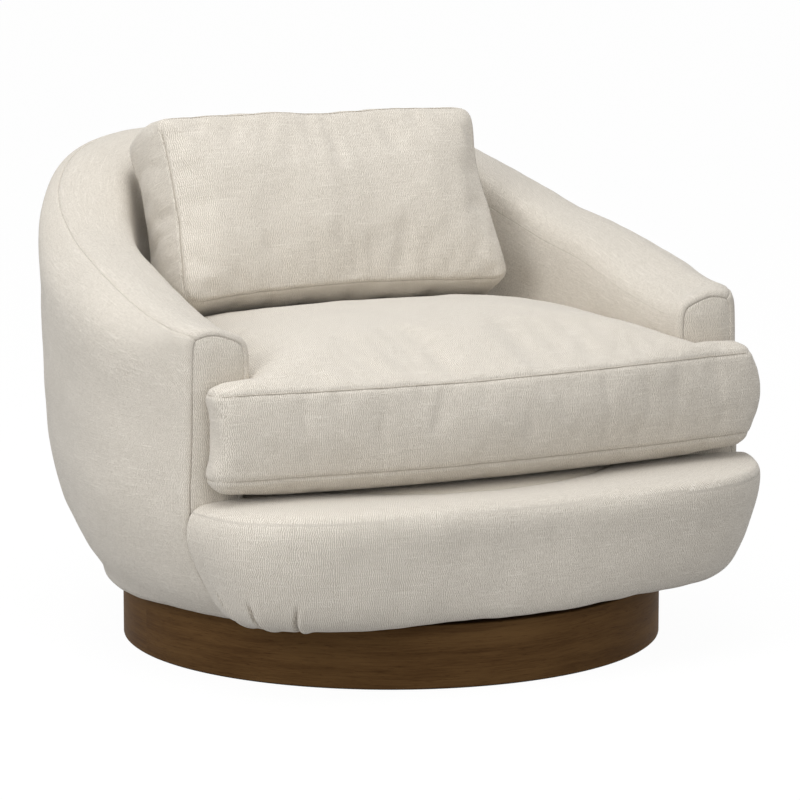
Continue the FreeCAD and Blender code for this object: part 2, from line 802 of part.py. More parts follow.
def make_springs():
    """Sinuous springs from rail to rail, and the clips that hold them."""
    wire = size("spring_wire")
    level = rail_top + size("clip_height")
    front = -size("rail_front") + size("rail_thickness") / 2
    back = size("rail_back") - size("rail_thickness") / 2
    bends = int(size("spring_bends"))
    pitch = (back - front) / (bends + 1)
    radius = pitch / 2
    swing = size("spring_swing")
    edges = []
    side = 1
    here = V(-swing + radius, front, 0)
    for bend in range(bends + 1):
        there = V(side * (swing - radius), here.y, 0)
        edges.append(Part.LineSegment(here, there).toShape())
        if bend < bends:
            middle = V(there.x + side * radius, there.y + radius, 0)
            end = V(there.x, there.y + pitch, 0)
            edges.append(Part.Arc(there, middle, end).toShape())
            here = end
        side = -side
    path = Part.Wire(edges)
    outline = path.makeOffset2D(wire / 2, 0, True, True, False)
    band = Part.Face(outline) if outline.ShapeType == "Wire" else outline
    spring = band.extrude(V(0, 0, wire))
    count = int(size("spring_count"))
    length = size("clip_length")
    width = size("clip_width")
    springs = []
    clips = []
    for i in range(count):
        x = (i - (count - 1) / 2) * size("spring_spacing")
        copy = spring.copy()
        copy.translate(V(x, 0, level))
        springs.append(copy)
        for y in (front, back):
            place = V(x - length / 2, y - width / 2, rail_top)
            clips.append(Part.makeBox(length, width, size("clip_height"), place))
    feature("sinuous_springs", Part.makeCompound(springs))
    feature("spring_clips", Part.makeCompound(clips))


# Front apron

def apron_radius(angle):
    """Swell of the apron at an angle ahead of the side."""
    return oval(angle, size("apron_half_width"), size("apron_front"), APRON_POWER)


def apron_end_share(angle):
    """How far a section takes the bowl shape of the arms: 1 at the border seam, 0 past the corner."""
    share = min(max((angle + 46) / 16, 0.0), 1.0)
    return share * share * (3 - 2 * share)


def apron_moves(angle):
    """Section of the padded apron: it wraps the bent board and laps over the ledge behind it."""
    swell = apron_radius(angle)
    end = apron_end_share(angle)
    lip = size("tub_lip")
    top = size("deck_height") - size("face_step")
    rise = top - tub_underside
    middle = tub_underside + (0.52 + 0.20 * end) * rise
    low = (lip + (swell - lip) * (0.79 - 0.28 * end), tub_underside + (0.16 + 0.03 * end) * rise)
    high = (swell - 0.27 * size("apron_round"), tub_underside + (0.86 + 0.03 * end) * rise)
    board_face = size("base_board_radius") + size("face_step")
    return [
        ((lip, tub_underside),),
        (low, (swell, middle)),
        (high, (swell - size("apron_round"), top)),
        ((board_face - size("apron_lap"), top),),
        ((board_face - size("apron_lap"), deck_under),),
        ((board_face, deck_under),),
        ((board_face, tub_underside),),
    ]


def ahead_of(level):
    """A block of space ahead of a plane across the chair."""
    return Part.makeBox(2 * REACH, REACH, REACH, V(-REACH, -level - REACH, 0))


def make_apron():
    """The pillow-like front apron between the arm fronts, its bent board and the ledge behind it."""
    wires = []
    directions = [-152 + 8 * i for i in range(8)] + [-90] + [-84 + 8 * i for i in range(8)]
    for direction in directions:
        angle = direction if direction > -90 else -180 - direction

        def place(point, d=direction):
            turn = math.radians(d)
            return V(point[0] * math.cos(turn), point[0] * math.sin(turn), point[1])

        wires.append(section_wire(apron_moves(angle), place))
    apron = Part.makeLoft(wires, True, False).common(ahead_of(size("tub_face")))
    feature("front_apron", apron)

    outer = size("base_board_radius")
    ledge_low = deck_under - size("ledge_thickness")
    bent = Part.makeCylinder(outer, ledge_low - board_top, V(0, 0, board_top))
    inside = outer - size("apron_board_thickness")
    bent = bent.cut(Part.makeCylinder(inside, ledge_low - board_top, V(0, 0, board_top)))
    feature("apron_board", bent.common(ahead_of(size("tub_face"))))
    ledge = Part.makeCylinder(outer, size("ledge_thickness"), V(0, 0, ledge_low))
    feature("front_ledge", ledge.common(ahead_of(size("rail_front"))))

    thick = size("deck_pad_thickness")
    half = size("inner_half_width") - size("face_step")
    rear_edge = size("inner_back_low") - 3 * size("frame_gap")
    deck = Part.makeBox(2 * half, rear_edge + outer, thick, V(-half, -outer, deck_under))
    rear = [
        e for e in deck.Edges
        if abs(e.tangentAt(e.FirstParameter).z) > 0.9 and e.Vertexes[0].Y > 0
    ]
    deck = deck.makeFillet(size("seat_rear_corner"), rear)
    front_edge = outer + size("face_step") - size("apron_lap")
    lap = Part.makeCylinder(front_edge, thick, V(0, 0, deck_under))
    feature("deck_pad", deck.common(lap.fuse(behind(-size("tub_face")))))


def make_dust_cloth():
    """The cloth ring that closes the underside round the swivel."""
    level = swivel_top - size("dust_cloth")
    outer = size("base_board_radius") - size("frame_gap")
    inner = size("dust_cloth_opening")
    cloth = Part.makeCylinder(outer, size("dust_cloth"), V(0, 0, level))
    feature("dust_cloth", cloth.cut(Part.makeCylinder(inner, size("dust_cloth"), V(0, 0, level))))


# Cushions

def seat_outline(level, inset, swell=0):
    """The T-shaped plan of the seat cushion at a level, drawn in by an inset."""
    grow = swell - inset
    half = (size("inner_half_width") - size("side_gap")) - inset + min(swell, 0)
    ear = size("seat_ear_half_width") + grow
    front = -size("seat_front") - grow
    face = -size("tub_face") - 2 * size("face_step") - inset * 0.3
    rear = size("seat_rear") + min(grow, 0)
    corner = size("seat_ear_corner") - inset * 0.35
    step = size("seat_corner_ease")
    rear_corner = size("seat_rear_corner") - inset
    bow = size("seat_bow")
    k = 1 - math.sqrt(0.5)

    def mirrored(points):
        return [(-x, y) for x, y in points]

    right = [
        (ear - corner, front),
        (ear - corner * k, front + corner * k),
        (ear, front + corner),
        (ear, face - step),
        (ear - step * k, face - step * k),
        (ear - step, face),
        (half + step, face),
        (half + step * k, face + step * k),
        (half, face + step),
        (half, rear - rear_corner),
        (half - rear_corner * k, rear - rear_corner * k),
        (half - rear_corner, rear),
    ]
    pts = [V(x, y, level) for x, y in right]
    mir = [V(x, y, level) for x, y in mirrored(right)]
    edges = [
        Part.Arc(mir[0], V(0, front - bow, level), pts[0]).toShape(),
        Part.Arc(pts[0], pts[1], pts[2]).toShape(),
        Part.LineSegment(pts[2], pts[3]).toShape(),
        Part.Arc(pts[3], pts[4], pts[5]).toShape(),
        Part.LineSegment(pts[5], pts[6]).toShape(),
        Part.Arc(pts[6], pts[7], pts[8]).toShape(),
        Part.LineSegment(pts[8], pts[9]).toShape(),
        Part.Arc(pts[9], pts[10], pts[11]).toShape(),
        Part.LineSegment(pts[11], mir[11]).toShape(),
        Part.Arc(mir[11], mir[10], mir[9]).toShape(),
        Part.LineSegment(mir[9], mir[8]).toShape(),
        Part.Arc(mir[8], mir[7], mir[6]).toShape(),
        Part.LineSegment(mir[6], mir[5]).toShape(),
        Part.Arc(mir[5], mir[4], mir[3]).toShape(),
        Part.LineSegment(mir[3], mir[2]).toShape(),
        Part.Arc(mir[2], mir[1], mir[0]).toShape(),
    ]
    return Part.Wire(edges)


def seat_solid(inset):
    """The seat cushion: T-shaped boxing between its seams and a crown that rises to the middle."""
    low = size("deck_height") + size("soft_gap") + inset
    seam_low = size("seat_seam_low")
    seam_high = size("seat_seam_high")
    middle = (seam_low + seam_high) / 2
    boxing = Part.makeLoft(
        [
            seat_outline(low, inset + 10),
            seat_outline((low + seam_low) / 2, inset + 3),
            seat_outline(seam_low, inset),
            seat_outline(middle, inset, size("seat_boxing_swell")),
            seat_outline(seam_high - inset * 0.4, inset),
            seat_outline(seam_high + 10 - inset, inset + 6),
        ],
        True,
        False,
    )
    crown_low = seam_high - 20
    front = -size("seat_front") - size("seat_bow") * 0.7 + inset + 8
    rear = size("seat_rear") - inset - 4
    shares = ((0.0, 0.10), (0.12, 0.50), (0.30, 0.84), (0.52, 1.0), (0.76, 0.92), (0.92, 0.6), (1.0, 0.3))
    wires = []
    for share, rise in shares:
        y = front + (rear - front) * share
        top = seam_high + 8 + (size("seat_crown") - inset - seam_high - 8) * rise
        half = (size("inner_half_width") - size("side_gap")) - inset - 6
        if share > 0.6:
            half -= (share - 0.6) * size("seat_rear_corner") * 1.5
        base = [V(-half, y, crown_low), V(half, y, crown_low)]
        edge = [V(-half, y, seam_high + 2), V(half, y, seam_high + 2)]
        wires.append(Part.Wire([
            Part.LineSegment(base[0], base[1]).toShape(),
            Part.LineSegment(base[1], edge[1]).toShape(),
            Part.Arc(edge[1], V(0, y, top), edge[0]).toShape(),
            Part.LineSegment(edge[0], base[0]).toShape(),
        ]))
    crown = Part.makeLoft(wires, True, False)
    return boxing.fuse(crown).removeSplitter()


def lean_angle():
    """Lean of the back cushion's face from upright, in degrees."""
    run = size("cushion_face_top_back") - size("cushion_face_low_back")
    rise = size("cushion_face_top") - size("cushion_face_low")
    return math.degrees(math.atan2(run, rise))


def cushion_rear_crown():
    """Swell of the back cushion's rear face that brings it to the leaning inside of the back."""
    lean = math.radians(lean_angle())
    rise = size("cushion_face_top") - size("cushion_face_low")
    run = size("cushion_face_top_back") - size("cushion_face_low_back")
    y = size("cushion_face_low_back") + run / 2 + size("cushion_boxing") * math.cos(lean)
    z = size("cushion_face_low") + rise / 2 - size("cushion_boxing") * math.sin(lean)
    points = tub_points(90)
    (foot_y, foot_z), (top_y, top_z) = points["foot"], points["inside"]
    wall_lean = math.atan2(top_y - foot_y, top_z - foot_z)
    normal_y, normal_z = math.cos(wall_lean), -math.sin(wall_lean)
    distance = (foot_y - y) * normal_y + (foot_z - z) * normal_z
    return distance / math.cos(lean - wall_lean) - 2 * size("soft_gap")


def cushion_solid(inset):
    """The back cushion in its leaning place: crowned faces and sides drawn in between the corners."""
    rise = size("cushion_face_top") - size("cushion_face_low")
    lean = lean_angle()
    height = rise / math.cos(math.radians(lean))
    boxing = size("cushion_boxing") - 2 * inset
    rear_crown = cushion_rear_crown()
    wires = []
    levels = ((0.0, 0.0), (0.10, 0.45), (0.26, 0.82), (0.50, 1.0), (0.74, 0.82), (0.90, 0.45), (1.0, 0.0))
    for share, fullness in levels:
        z = inset + share * (height - 2 * inset)
        half = size("cushion_low_half_width")
        half += (size("cushion_half_width") - half) * share
        half -= inset + size("cushion_draw") * fullness
        front_swell = 4 + (size("cushion_front_crown") - 4) * fullness
        rear_swell = 4 + (rear_crown - 4) * fullness
        side_swell = 6
        rear = inset + boxing
        corners = [V(-half, inset, z), V(half, inset, z), V(half, rear, z), V(-half, rear, z)]
        middles = [
            V(0, inset - front_swell, z),
            V(half + side_swell, inset + boxing / 2, z),
            V(0, rear + rear_swell, z),
            V(-half - side_swell, inset + boxing / 2, z),
        ]
        edges = [Part.Arc(corners[i], middles[i], corners[(i + 1) % 4]).toShape() for i in range(4)]
        wires.append(Part.Wire(edges))
    cushion = Part.makeLoft(wires, True, False)
    cushion.rotate(V(0, 0, 0), V(1, 0, 0), -lean)
    cushion.translate(V(0, size("cushion_face_low_back"), size("cushion_face_low")))
    return cushion


def wall_moves(angle):
    """Section of the inside wall, a little proud of its face, that the back cushion rests against."""
    p = tub_points(angle)
    proud = size("face_step")
    return [
        ((p["foot"][0] - proud, p["foot"][1]),),
        ((p["inside"][0] - proud, p["inside"][1]),),
        ((p["inside"][0] + size("cover_inner"), p["inside"][1]),),
        ((p["foot"][0] + size("cover_inner"), p["foot"][1]),),
    ]


def make_cushions():
    """Seat and back cushions, each a cover with its fibre wrap and a foam core."""
    seat = seat_solid(0)
    core = seat_solid(size("cover_fibre"))
    feature("seat_cushion_cover", seat.cut(core))
    feature("seat_foam_core", core)
    raised = seat.copy()
    raised.translate(V(0, 0, size("soft_gap")))
    back = cushion_solid(0).cut(raised).cut(tub_loft(wall_moves))
    back_core = cushion_solid(size("cover_fibre"))
    raised.translate(V(0, 0, size("cover_fibre")))
    back_core = back_core.cut(raised)
    feature("back_cushion_cover", back.cut(back_core))
    feature("back_foam_core", back_core)


make_plinth()
make_swivel()
make_seat_frame()
make_tub_covers()
make_tub_frame()
make_springs()
make_apron()
make_dust_cloth()
make_cushions()
doc.recompute()


# Check and write every sub-part

KINDS = ("PartDesign::Body", "Part::Box", "Part::Feature")
for item in doc.Objects:
    assert "Invalid" not in item.State and "Error" not in item.State, item.Label
nodes = [o for o in doc.Objects if o.TypeId in KINDS]
for node in nodes:
    shape = node.Shape
    assert not shape.isNull() and shape.isValid() and shape.Volume > 0, node.Label
    shape.exportStep(f"parts/{node.Label}.step")
    print(f"{node.Label}: {len(shape.Solids)} solids, {shape.Volume / 1000:.1f} cm3")
print(len(nodes), "nodes")
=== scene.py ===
"""Looks of the swivel barrel chair: a woven-cloth tub with loose cushions on a stained wood drum.

Lengths are in metres in the shared frame: origin on the floor under the swivel axis, +Z up, and
the chair faces -Y. Directions round the tub are in degrees: 0 is +X, 90 the back, 180 -X.
"""
import logging
import math
from dataclasses import dataclass, field
from enum import Enum
from typing import Callable, Optional, Sequence

import bmesh
import bpy
import numpy as np
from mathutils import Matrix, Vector
from mathutils.bvhtree import BVHTree


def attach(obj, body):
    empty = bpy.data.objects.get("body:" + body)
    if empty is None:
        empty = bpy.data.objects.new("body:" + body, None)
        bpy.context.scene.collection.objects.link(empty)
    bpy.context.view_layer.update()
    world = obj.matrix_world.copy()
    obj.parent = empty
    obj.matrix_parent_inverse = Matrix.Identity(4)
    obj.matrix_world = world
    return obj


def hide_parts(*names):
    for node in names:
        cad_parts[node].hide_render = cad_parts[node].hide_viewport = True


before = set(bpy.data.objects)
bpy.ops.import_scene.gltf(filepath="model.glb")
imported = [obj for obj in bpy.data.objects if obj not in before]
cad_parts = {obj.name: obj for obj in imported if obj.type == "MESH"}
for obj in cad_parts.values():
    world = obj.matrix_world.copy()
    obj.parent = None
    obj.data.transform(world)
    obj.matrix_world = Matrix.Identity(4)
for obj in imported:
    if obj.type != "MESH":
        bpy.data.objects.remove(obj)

LOG = logging.getLogger("barrel_chair")
Array = np.ndarray
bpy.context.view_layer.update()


class Body(str, Enum):
    """The bodies that the pieces ride on."""

    BASE = "base"
    TUB = "tub"
    SEAT = "seat_cushion"
    BACK = "back_cushion"


class Slot(str, Enum):
    """Material slot names; no piece is given one here."""

    CLOTH = "woven_cloth"
    STAINED = "stained_wood"
    ZINC = "zinc_steel"
    DARK = "dark_cloth"


# Numbers and curves


def smooth(low: float, high: float, value: Array) -> Array:
    """An eased step.

    Args:
        low: where the step starts.
        high: where it ends.
        value: places to evaluate.

    Returns:
        Shares from 0 to 1.
    """
    share = np.clip((np.asarray(value, float) - low) / (high - low), 0.0, 1.0)
    return share * share * (3 - 2 * share)


def ripple(points: Array, length: float, seed: int) -> Array:
    """Smooth, repeatable unevenness in space.

    Args:
        points: places, N by 3.
        length: typical distance between neighbouring swells.
        seed: picks the pattern.

    Returns:
        One value per point, mostly between -1 and 1.
    """
    rng = np.random.default_rng(seed)
    total = np.zeros(len(points))
    for _ in range(7):
        direction = rng.normal(size=3)
        direction /= np.linalg.norm(direction)
        wave = 2 * math.pi / (length * rng.uniform(0.7, 1.6))
        total += np.sin(points @ direction * wave + rng.uniform(0, 2 * math.pi))
    return total / 3.2


def spline_weights(knots: Array, places: Array) -> Array:
    """Weights of a natural cubic spline.

    Args:
        knots: rising parameters of the given points.
        places: parameters to evaluate.

    Returns:
        A matrix that turns the points into values at the places.
    """
    count = len(knots)
    gap = np.diff(knots)
    left = np.zeros((count, count))
    right = np.zeros((count, count))
    left[0, 0] = left[-1, -1] = 1
    for i in range(1, count - 1):
        left[i, i - 1: i + 2] = gap[i - 1], 2 * (gap[i - 1] + gap[i]), gap[i]
        right[i, i - 1: i + 2] = 6 / gap[i - 1], -6 / gap[i - 1] - 6 / gap[i], 6 / gap[i]
    bend = np.linalg.solve(left, right)
    span = np.clip(np.searchsorted(knots, places, side="right") - 1, 0, count - 2)
    done, rest, width = places - knots[span], knots[span + 1] - places, gap[span]
    unit = np.eye(count)
    return (
        unit[span] * (rest / width)[:, None]
        + unit[span + 1] * (done / width)[:, None]
        + bend[span] * ((rest**3 / width - width * rest) / 6)[:, None]
        + bend[span + 1] * ((done**3 / width - width * done) / 6)[:, None]
    )


SPAN_POWER = 0.7


def curve_through(points: Array, share: Array) -> Array:
    """Points of a smooth curve through control points.

    Args:
        points: the control points in order.
        share: places from 0 to 1, where equal steps pass equal numbers of control points.

    Returns:
        One point for each place.
    """
    knots = np.concatenate([[0], np.cumsum(np.linalg.norm(np.diff(points, axis=0), axis=1) ** SPAN_POWER)])
    at = np.interp(share, np.linspace(0, 1, len(points)), knots)
    return spline_weights(knots, at) @ points


def running_length(line: Array) -> Array:
    """Distance along a line of points, at each of them."""
    return np.concatenate([[0], np.cumsum(np.linalg.norm(np.diff(line, axis=0), axis=1))])


def along_line(spots: Array, gap: Array, line: Array) -> Array:
    """Points of a line at given places along it.

    Args:
        spots: the places wanted.
        gap: the rising places of the line's own points.
        line: the line's points.

    Returns:
        One point for each place.
    """
    return np.stack([np.interp(spots, gap, line[:, k]) for k in range(line.shape[1])], axis=1)


def corner_arc(start: Array, corner: Array, end: Array, share: float) -> Array:
    """A point on the rounding of a corner, from its start at 0 to its end at 1."""
    return (1 - share) ** 2 * start + 2 * share * (1 - share) * corner + share**2 * end


def groove(away: Array, width: float) -> Array:
    """A soft groove's depth, from 1 on its line to nothing a few widths away."""
    return np.exp(-((away / width) ** 2))


def puff(away: Array, reach: float) -> Array:
    """A quick rise from a seam, from 0 on it to nearly 1 a few reaches away."""
    return 1 - np.exp(-away / reach)


def dome(away: Array, width: float, power: float = 2.0) -> Array:
    """A slow rise from a seam, from 0 on it to 1 at a width away."""
    return 1 - (1 - np.clip(away / width, 0, 1)) ** power


def unevenness(points: Array, waves: Sequence[tuple]) -> Array:
    """Swells added up, each given as its height, length and seed."""
    return sum(height * ripple(points, length, seed) for height, length, seed in waves)


# Meshes


def deselect() -> None:
    """Leave nothing selected."""
    bpy.ops.object.select_all(action="DESELECT")


def only(item: bpy.types.Object) -> None:
    """Select one object and make it active."""
    deselect()
    item.select_set(True)
    bpy.context.view_layer.objects.active = item


def finish_place(item: bpy.types.Object, name: str) -> bpy.types.Object:
    """Name an object and put its place into its mesh.

    Args:
        item: the object.
        name: its name.

    Returns:
        The same object, at the origin.
    """
    only(item)
    bpy.ops.object.transform_apply(location=True, rotation=True, scale=True)
    item.name = name
    item.data.name = name
    return item


def coordinates(item: bpy.types.Object) -> Array:
    """The vertex places of a mesh, N by 3."""
    places = np.empty(len(item.data.vertices) * 3)
    item.data.vertices.foreach_get("co", places)
    return places.reshape(-1, 3)


def place_vertices(item: bpy.types.Object, places: Array) -> None:
    """Move every vertex of a mesh."""
    item.data.vertices.foreach_set("co", np.ascontiguousarray(places, float).ravel())
    item.data.update()


def normals(item: bpy.types.Object) -> Array:
    """The vertex normals of a mesh, N by 3."""
    found = np.empty(len(item.data.vertices) * 3)
    item.data.vertices.foreach_get("normal", found)
    return found.reshape(-1, 3)


def face_normals(item: bpy.types.Object) -> Array:
    """The face normals of a mesh, N by 3."""
    found = np.empty(len(item.data.polygons) * 3)
    item.data.polygons.foreach_get("normal", found)
    return found.reshape(-1, 3)


def shade(item: bpy.types.Object) -> None:
    """Shade a mesh smooth."""
    item.data.shade_smooth()


def apply_modifier(item: bpy.types.Object, kind: str, **settings) -> None:
    """Add a modifier and apply it.

    Args:
        item: the object.
        kind: Blender's modifier type.
        settings: its values.
    """
    only(item)
    modifier = item.modifiers.new(kind.title(), kind)
    for name, value in settings.items():
        setattr(modifier, name, value)
    bpy.ops.object.modifier_apply(modifier=modifier.name)


def merge_close(item: bpy.types.Object, distance: float = 2e-5) -> None:
    """Merge doubled vertices and turn the faces outwards."""
    only(item)
    bpy.ops.object.mode_set(mode="EDIT")
    bpy.ops.mesh.select_all(action="SELECT")
    bpy.ops.mesh.remove_doubles(threshold=distance)
    bpy.ops.mesh.normals_make_consistent(inside=False)
    bpy.ops.object.mode_set(mode="OBJECT")


def flip_faces(item: bpy.types.Object) -> None:
    """Turn every face of a mesh over."""
    only(item)
    bpy.ops.object.mode_set(mode="EDIT")
    bpy.ops.mesh.select_all(action="SELECT")
    bpy.ops.mesh.flip_normals()
    bpy.ops.object.mode_set(mode="OBJECT")


def cloth_map(item: bpy.types.Object, corner_uv: Callable[[Array, Array], Array]) -> None:
    """Lay cloth coordinates, in metres, on a mesh.

    Args:
        item: the object.
        corner_uv: gives the coordinates from the vertex and face numbers of the corners.
    """
    mesh = item.data
    vertex = np.empty(len(mesh.loops), int)
    mesh.loops.foreach_get("vertex_index", vertex)
    totals = np.empty(len(mesh.polygons), int)
    mesh.polygons.foreach_get("loop_total", totals)
    face = np.repeat(np.arange(len(mesh.polygons)), totals)
    layer = mesh.uv_layers.get("Cloth") or mesh.uv_layers.new(name="Cloth")
    mesh.uv_layers.active = layer
    layer.data.foreach_set("uv", np.ascontiguousarray(corner_uv(vertex, face), float).ravel())


def grid_piece(name: str, places: Array, cloth: Array) -> bpy.types.Object:
    """A sheet of quads laid through rows of points.

    Args:
        name: the piece's name.
        places: points, rows by columns by 3.
        cloth: cloth coordinates in metres, rows by columns by 2.

    Returns:
        The new object.
    """
    rows, columns = places.shape[:2]
    deselect()
    bpy.ops.mesh.primitive_grid_add(x_subdivisions=columns - 1, y_subdivisions=rows - 1, size=2)
    item = bpy.context.active_object
    flat = coordinates(item)
    column = np.rint((flat[:, 0] + 1) / 2 * (columns - 1)).astype(int)
    row = np.rint((flat[:, 1] + 1) / 2 * (rows - 1)).astype(int)
    place_vertices(item, places[row, column])
    spread = cloth[row, column]
    cloth_map(item, lambda vertex, face: spread[vertex])
    shade(item)
    return finish_place(item, name)


def sheet_normals(places: Array) -> Array:
    """Unit normals of a sheet of points, across its rows and columns."""
    along = np.gradient(places, axis=1)
    across = np.gradient(places, axis=0)
    normal = np.cross(along, across)
    return normal / np.maximum(np.linalg.norm(normal, axis=2, keepdims=True), 1e-12)


def shell(item: bpy.types.Object, thickness: float) -> None:
    """Give a sheet its thickness, inwards."""
    apply_modifier(item, "SOLIDIFY", thickness=thickness, offset=-1.0, use_rim=True, use_even_offset=False)


# Radius of the seam tubes, which are lines of painted shade in the seams' grooves.
SEAM_SHADE_RADIUS = 0.0006
SEAM_SIDES = 6
SEAM_LEAN = (0.13, 0.21, 0.97)


def seam_shade_line(name: str, path: Array, radius: float) -> bpy.types.Object:
    """A fine closed tube along a seam, which stands for the painted shade line in the seam's groove.

    Args:
        name: the piece's name.
        path: points along the seam, N by 3, round to its start.
        radius: of the tube.

    Returns:
        The new object.
    """
    tangent = np.roll(path, -1, 0) - np.roll(path, 1, 0)
    tangent /= np.linalg.norm(tangent, axis=1, keepdims=True)
    side = np.cross(tangent, SEAM_LEAN)
    side /= np.linalg.norm(side, axis=1, keepdims=True)
    up = np.cross(side, tangent)
    turn = np.arange(SEAM_SIDES + 1) / SEAM_SIDES * 2 * math.pi
    ring = side[None] * np.cos(turn)[:, None, None] + up[None] * np.sin(turn)[:, None, None]
    places = path[None] + ring * radius
    places = np.concatenate([places, places[:, :1]], axis=1)
    length = running_length(np.concatenate([path, path[:1]]))
    cloth = np.stack(np.broadcast_arrays(length[None], (turn * radius)[:, None]), axis=2)
    item = grid_piece(name, places, cloth)
    merge_close(item, 1e-6)
    return item


# Node building


class Bench:
    """Adds and joins the nodes of one tree."""

    def __init__(self, tree: bpy.types.NodeTree) -> None:
        """Keep the tree that the nodes go into."""
        self.tree = tree

    def add(self, kind: str, settings: Optional[dict] = None, **values) -> bpy.types.Node:
        """Add a node.

        Args:
            kind: the node's type without its prefix.
            settings: properties of the node.
            values: socket name, with underscores for spaces, to a value or an output socket.

        Returns:
            The new node.
        """
        node = self.tree.nodes.new("ShaderNode" + kind)
        for name, value in (settings or {}).items():
            setattr(node, name, value)
        for name, value in values.items():
            self.feed(node.inputs[name.replace("_", " ")], value)
        return node

    def feed(self, socket: bpy.types.NodeSocket, value: object) -> None:
        """Join an output to a socket, or set the socket."""
        if isinstance(value, bpy.types.NodeSocket):
            self.tree.links.new(value, socket)
        else:
            socket.default_value = value

    def math(self, operation: str, first: object, second: object = 0.0) -> bpy.types.NodeSocket:
        """A sum, product or other operation on two numbers."""
        node = self.add("Math", {"operation": operation})
        self.feed(node.inputs[0], first)
        self.feed(node.inputs[1], second)
        return node.outputs[0]

    def blend(self, *parts: tuple) -> bpy.types.NodeSocket:
        """The sum of values, each times its weight."""
        total = None
        for value, weight in parts:
            part = self.math("MULTIPLY", value, weight)
            total = part if total is None else self.math("ADD", total, part)
        return total

    def centred(self, value: object) -> bpy.types.NodeSocket:
        """A value from 0 to 1, moved to lie round 0."""
        return self.math("SUBTRACT", value, 0.5)

    def step(self, value: object, low: float, high: float) -> bpy.types.NodeSocket:
        """An eased step from 0 to 1 between two values."""
        node = self.add("MapRange", {"interpolation_type": "SMOOTHSTEP"}, Value=value)
        node.inputs["From Min"].default_value = low
        node.inputs["From Max"].default_value = high
        return node.outputs["Result"]

    def stretched_noise(self, vector: object, scale: Sequence[float], detail: float,
                        shift: float = 0.0) -> bpy.types.NodeSocket:
        """Noise stretched to its own scale along each axis."""
        aside = (shift, shift * 1.7, shift * 0.6)
        place = self.add("Mapping", Vector=vector, Scale=tuple(scale), Location=aside)
        noise = self.add("TexNoise", Vector=place.outputs[0], Scale=1.0, Detail=detail, Roughness=0.55)
        return noise.outputs["Fac"]


def new_group(name: str, inputs: Sequence[tuple], outputs: Sequence[str]) -> bpy.types.NodeTree:
    """A shader node group with named sockets.

    Args:
        name: the group's name.
        inputs: name, socket type and default of each input.
        outputs: names of the number outputs.

    Returns:
        The new group.
    """
    tree = bpy.data.node_groups.new(name, "ShaderNodeTree")
    for label, kind, default in inputs:
        socket = tree.interface.new_socket(label, in_out="INPUT", socket_type="NodeSocket" + kind)
        if default is not None:
            socket.default_value = default
    for label in outputs:
        tree.interface.new_socket(label, in_out="OUTPUT", socket_type="NodeSocketFloat")
    return tree


RIB_WAVE = 2600.0
RIB_WANDER = 16.0


def weave_group() -> bpy.types.NodeTree:
    """Plain weave with fine upright threads and level slubs: puts out a shade and a height."""
    tree = new_group("Weave", [("Vector", "Vector", None), ("Slub", "Float", 1.0)], ["Shade", "Height"])
    bench = Bench(tree)
    given = tree.nodes.new("NodeGroupInput")
    cloth = given.outputs["Vector"]
    wander = bench.stretched_noise(cloth, (90, 240, 1), 1.0, 31.0)
    along = bench.math("MULTIPLY", bench.add("SeparateXYZ", Vector=cloth).outputs["X"], RIB_WAVE)
    ribs = bench.math("SINE", bench.math("ADD", along, bench.math("MULTIPLY", wander, RIB_WANDER)))
    picks = bench.stretched_noise(cloth, (110, 1000, 1), 1.0, 3.1)
    grain = bench.stretched_noise(cloth, (820, 820, 1), 1.0, 7.7)
    light = bench.step(bench.stretched_noise(cloth, (26, 470, 1), 1.0, 11.3), 0.56, 0.74)
    dark = bench.step(bench.stretched_noise(cloth, (24, 520, 1), 1.0, 23.9), 0.58, 0.78)
    blotch = bench.stretched_noise(cloth, (14, 20, 1), 2.0, 5.2)
    slub = bench.math("MULTIPLY", bench.math("SUBTRACT", light, bench.math("MULTIPLY", dark, 0.55)),
                      given.outputs["Slub"])
    thread = bench.blend((ribs, 0.32), (bench.centred(picks), 0.45), (bench.centred(grain), 1.10))
    shade_value = bench.blend((thread, 1.0), (slub, 0.27), (bench.centred(blotch), 0.05))
    height = bench.blend((thread, 1.0), (slub, 0.6))
    put = tree.nodes.new("NodeGroupOutput")
    bench.feed(put.inputs["Shade"], bench.math("ADD", shade_value, 0.5))
    bench.feed(put.inputs["Height"], height)
    return tree


def grain_group() -> bpy.types.NodeTree:
    """Wood grain along the vector's X: puts out a shade and a height."""
    tree = new_group(
        "Grain", [("Vector", "Vector", None), ("Scale", "Float", 1.0)], ["Shade", "Height"]
    )
    bench = Bench(tree)
    given = tree.nodes.new("NodeGroupInput")
    scaled = bench.add("VectorMath", {"operation": "SCALE"}, Vector=given.outputs["Vector"],
                       Scale=given.outputs["Scale"]).outputs[0]
    bend = bench.add("TexNoise", Vector=scaled, Scale=7.0, Detail=2.0)
    moved = bench.add("VectorMath", {"operation": "SCALE"}, Vector=bend.outputs["Color"], Scale=0.010)
    wavy = bench.add("VectorMath", {"operation": "ADD"})
    bench.feed(wavy.inputs[0], scaled)
    bench.feed(wavy.inputs[1], moved.outputs[0])
    broad = bench.stretched_noise(wavy.outputs[0], (3, 55, 55), 3.0)
    fine = bench.stretched_noise(wavy.outputs[0], (22, 620, 620), 2.0, 4.3)
    pores = bench.step(bench.stretched_noise(wavy.outputs[0], (60, 900, 900), 1.0, 9.1), 0.60, 0.74)
    cloud = bench.stretched_noise(wavy.outputs[0], (6, 9, 9), 2.0, 2.2)
    shade_value = bench.blend((broad, 0.45), (fine, 0.25), (cloud, 0.30), (pores, -0.12))
    put = tree.nodes.new("NodeGroupOutput")
    bench.feed(put.inputs["Shade"], shade_value)
    bench.feed(put.inputs["Height"], bench.blend((fine, 1.0), (pores, -0.8)))
    return tree


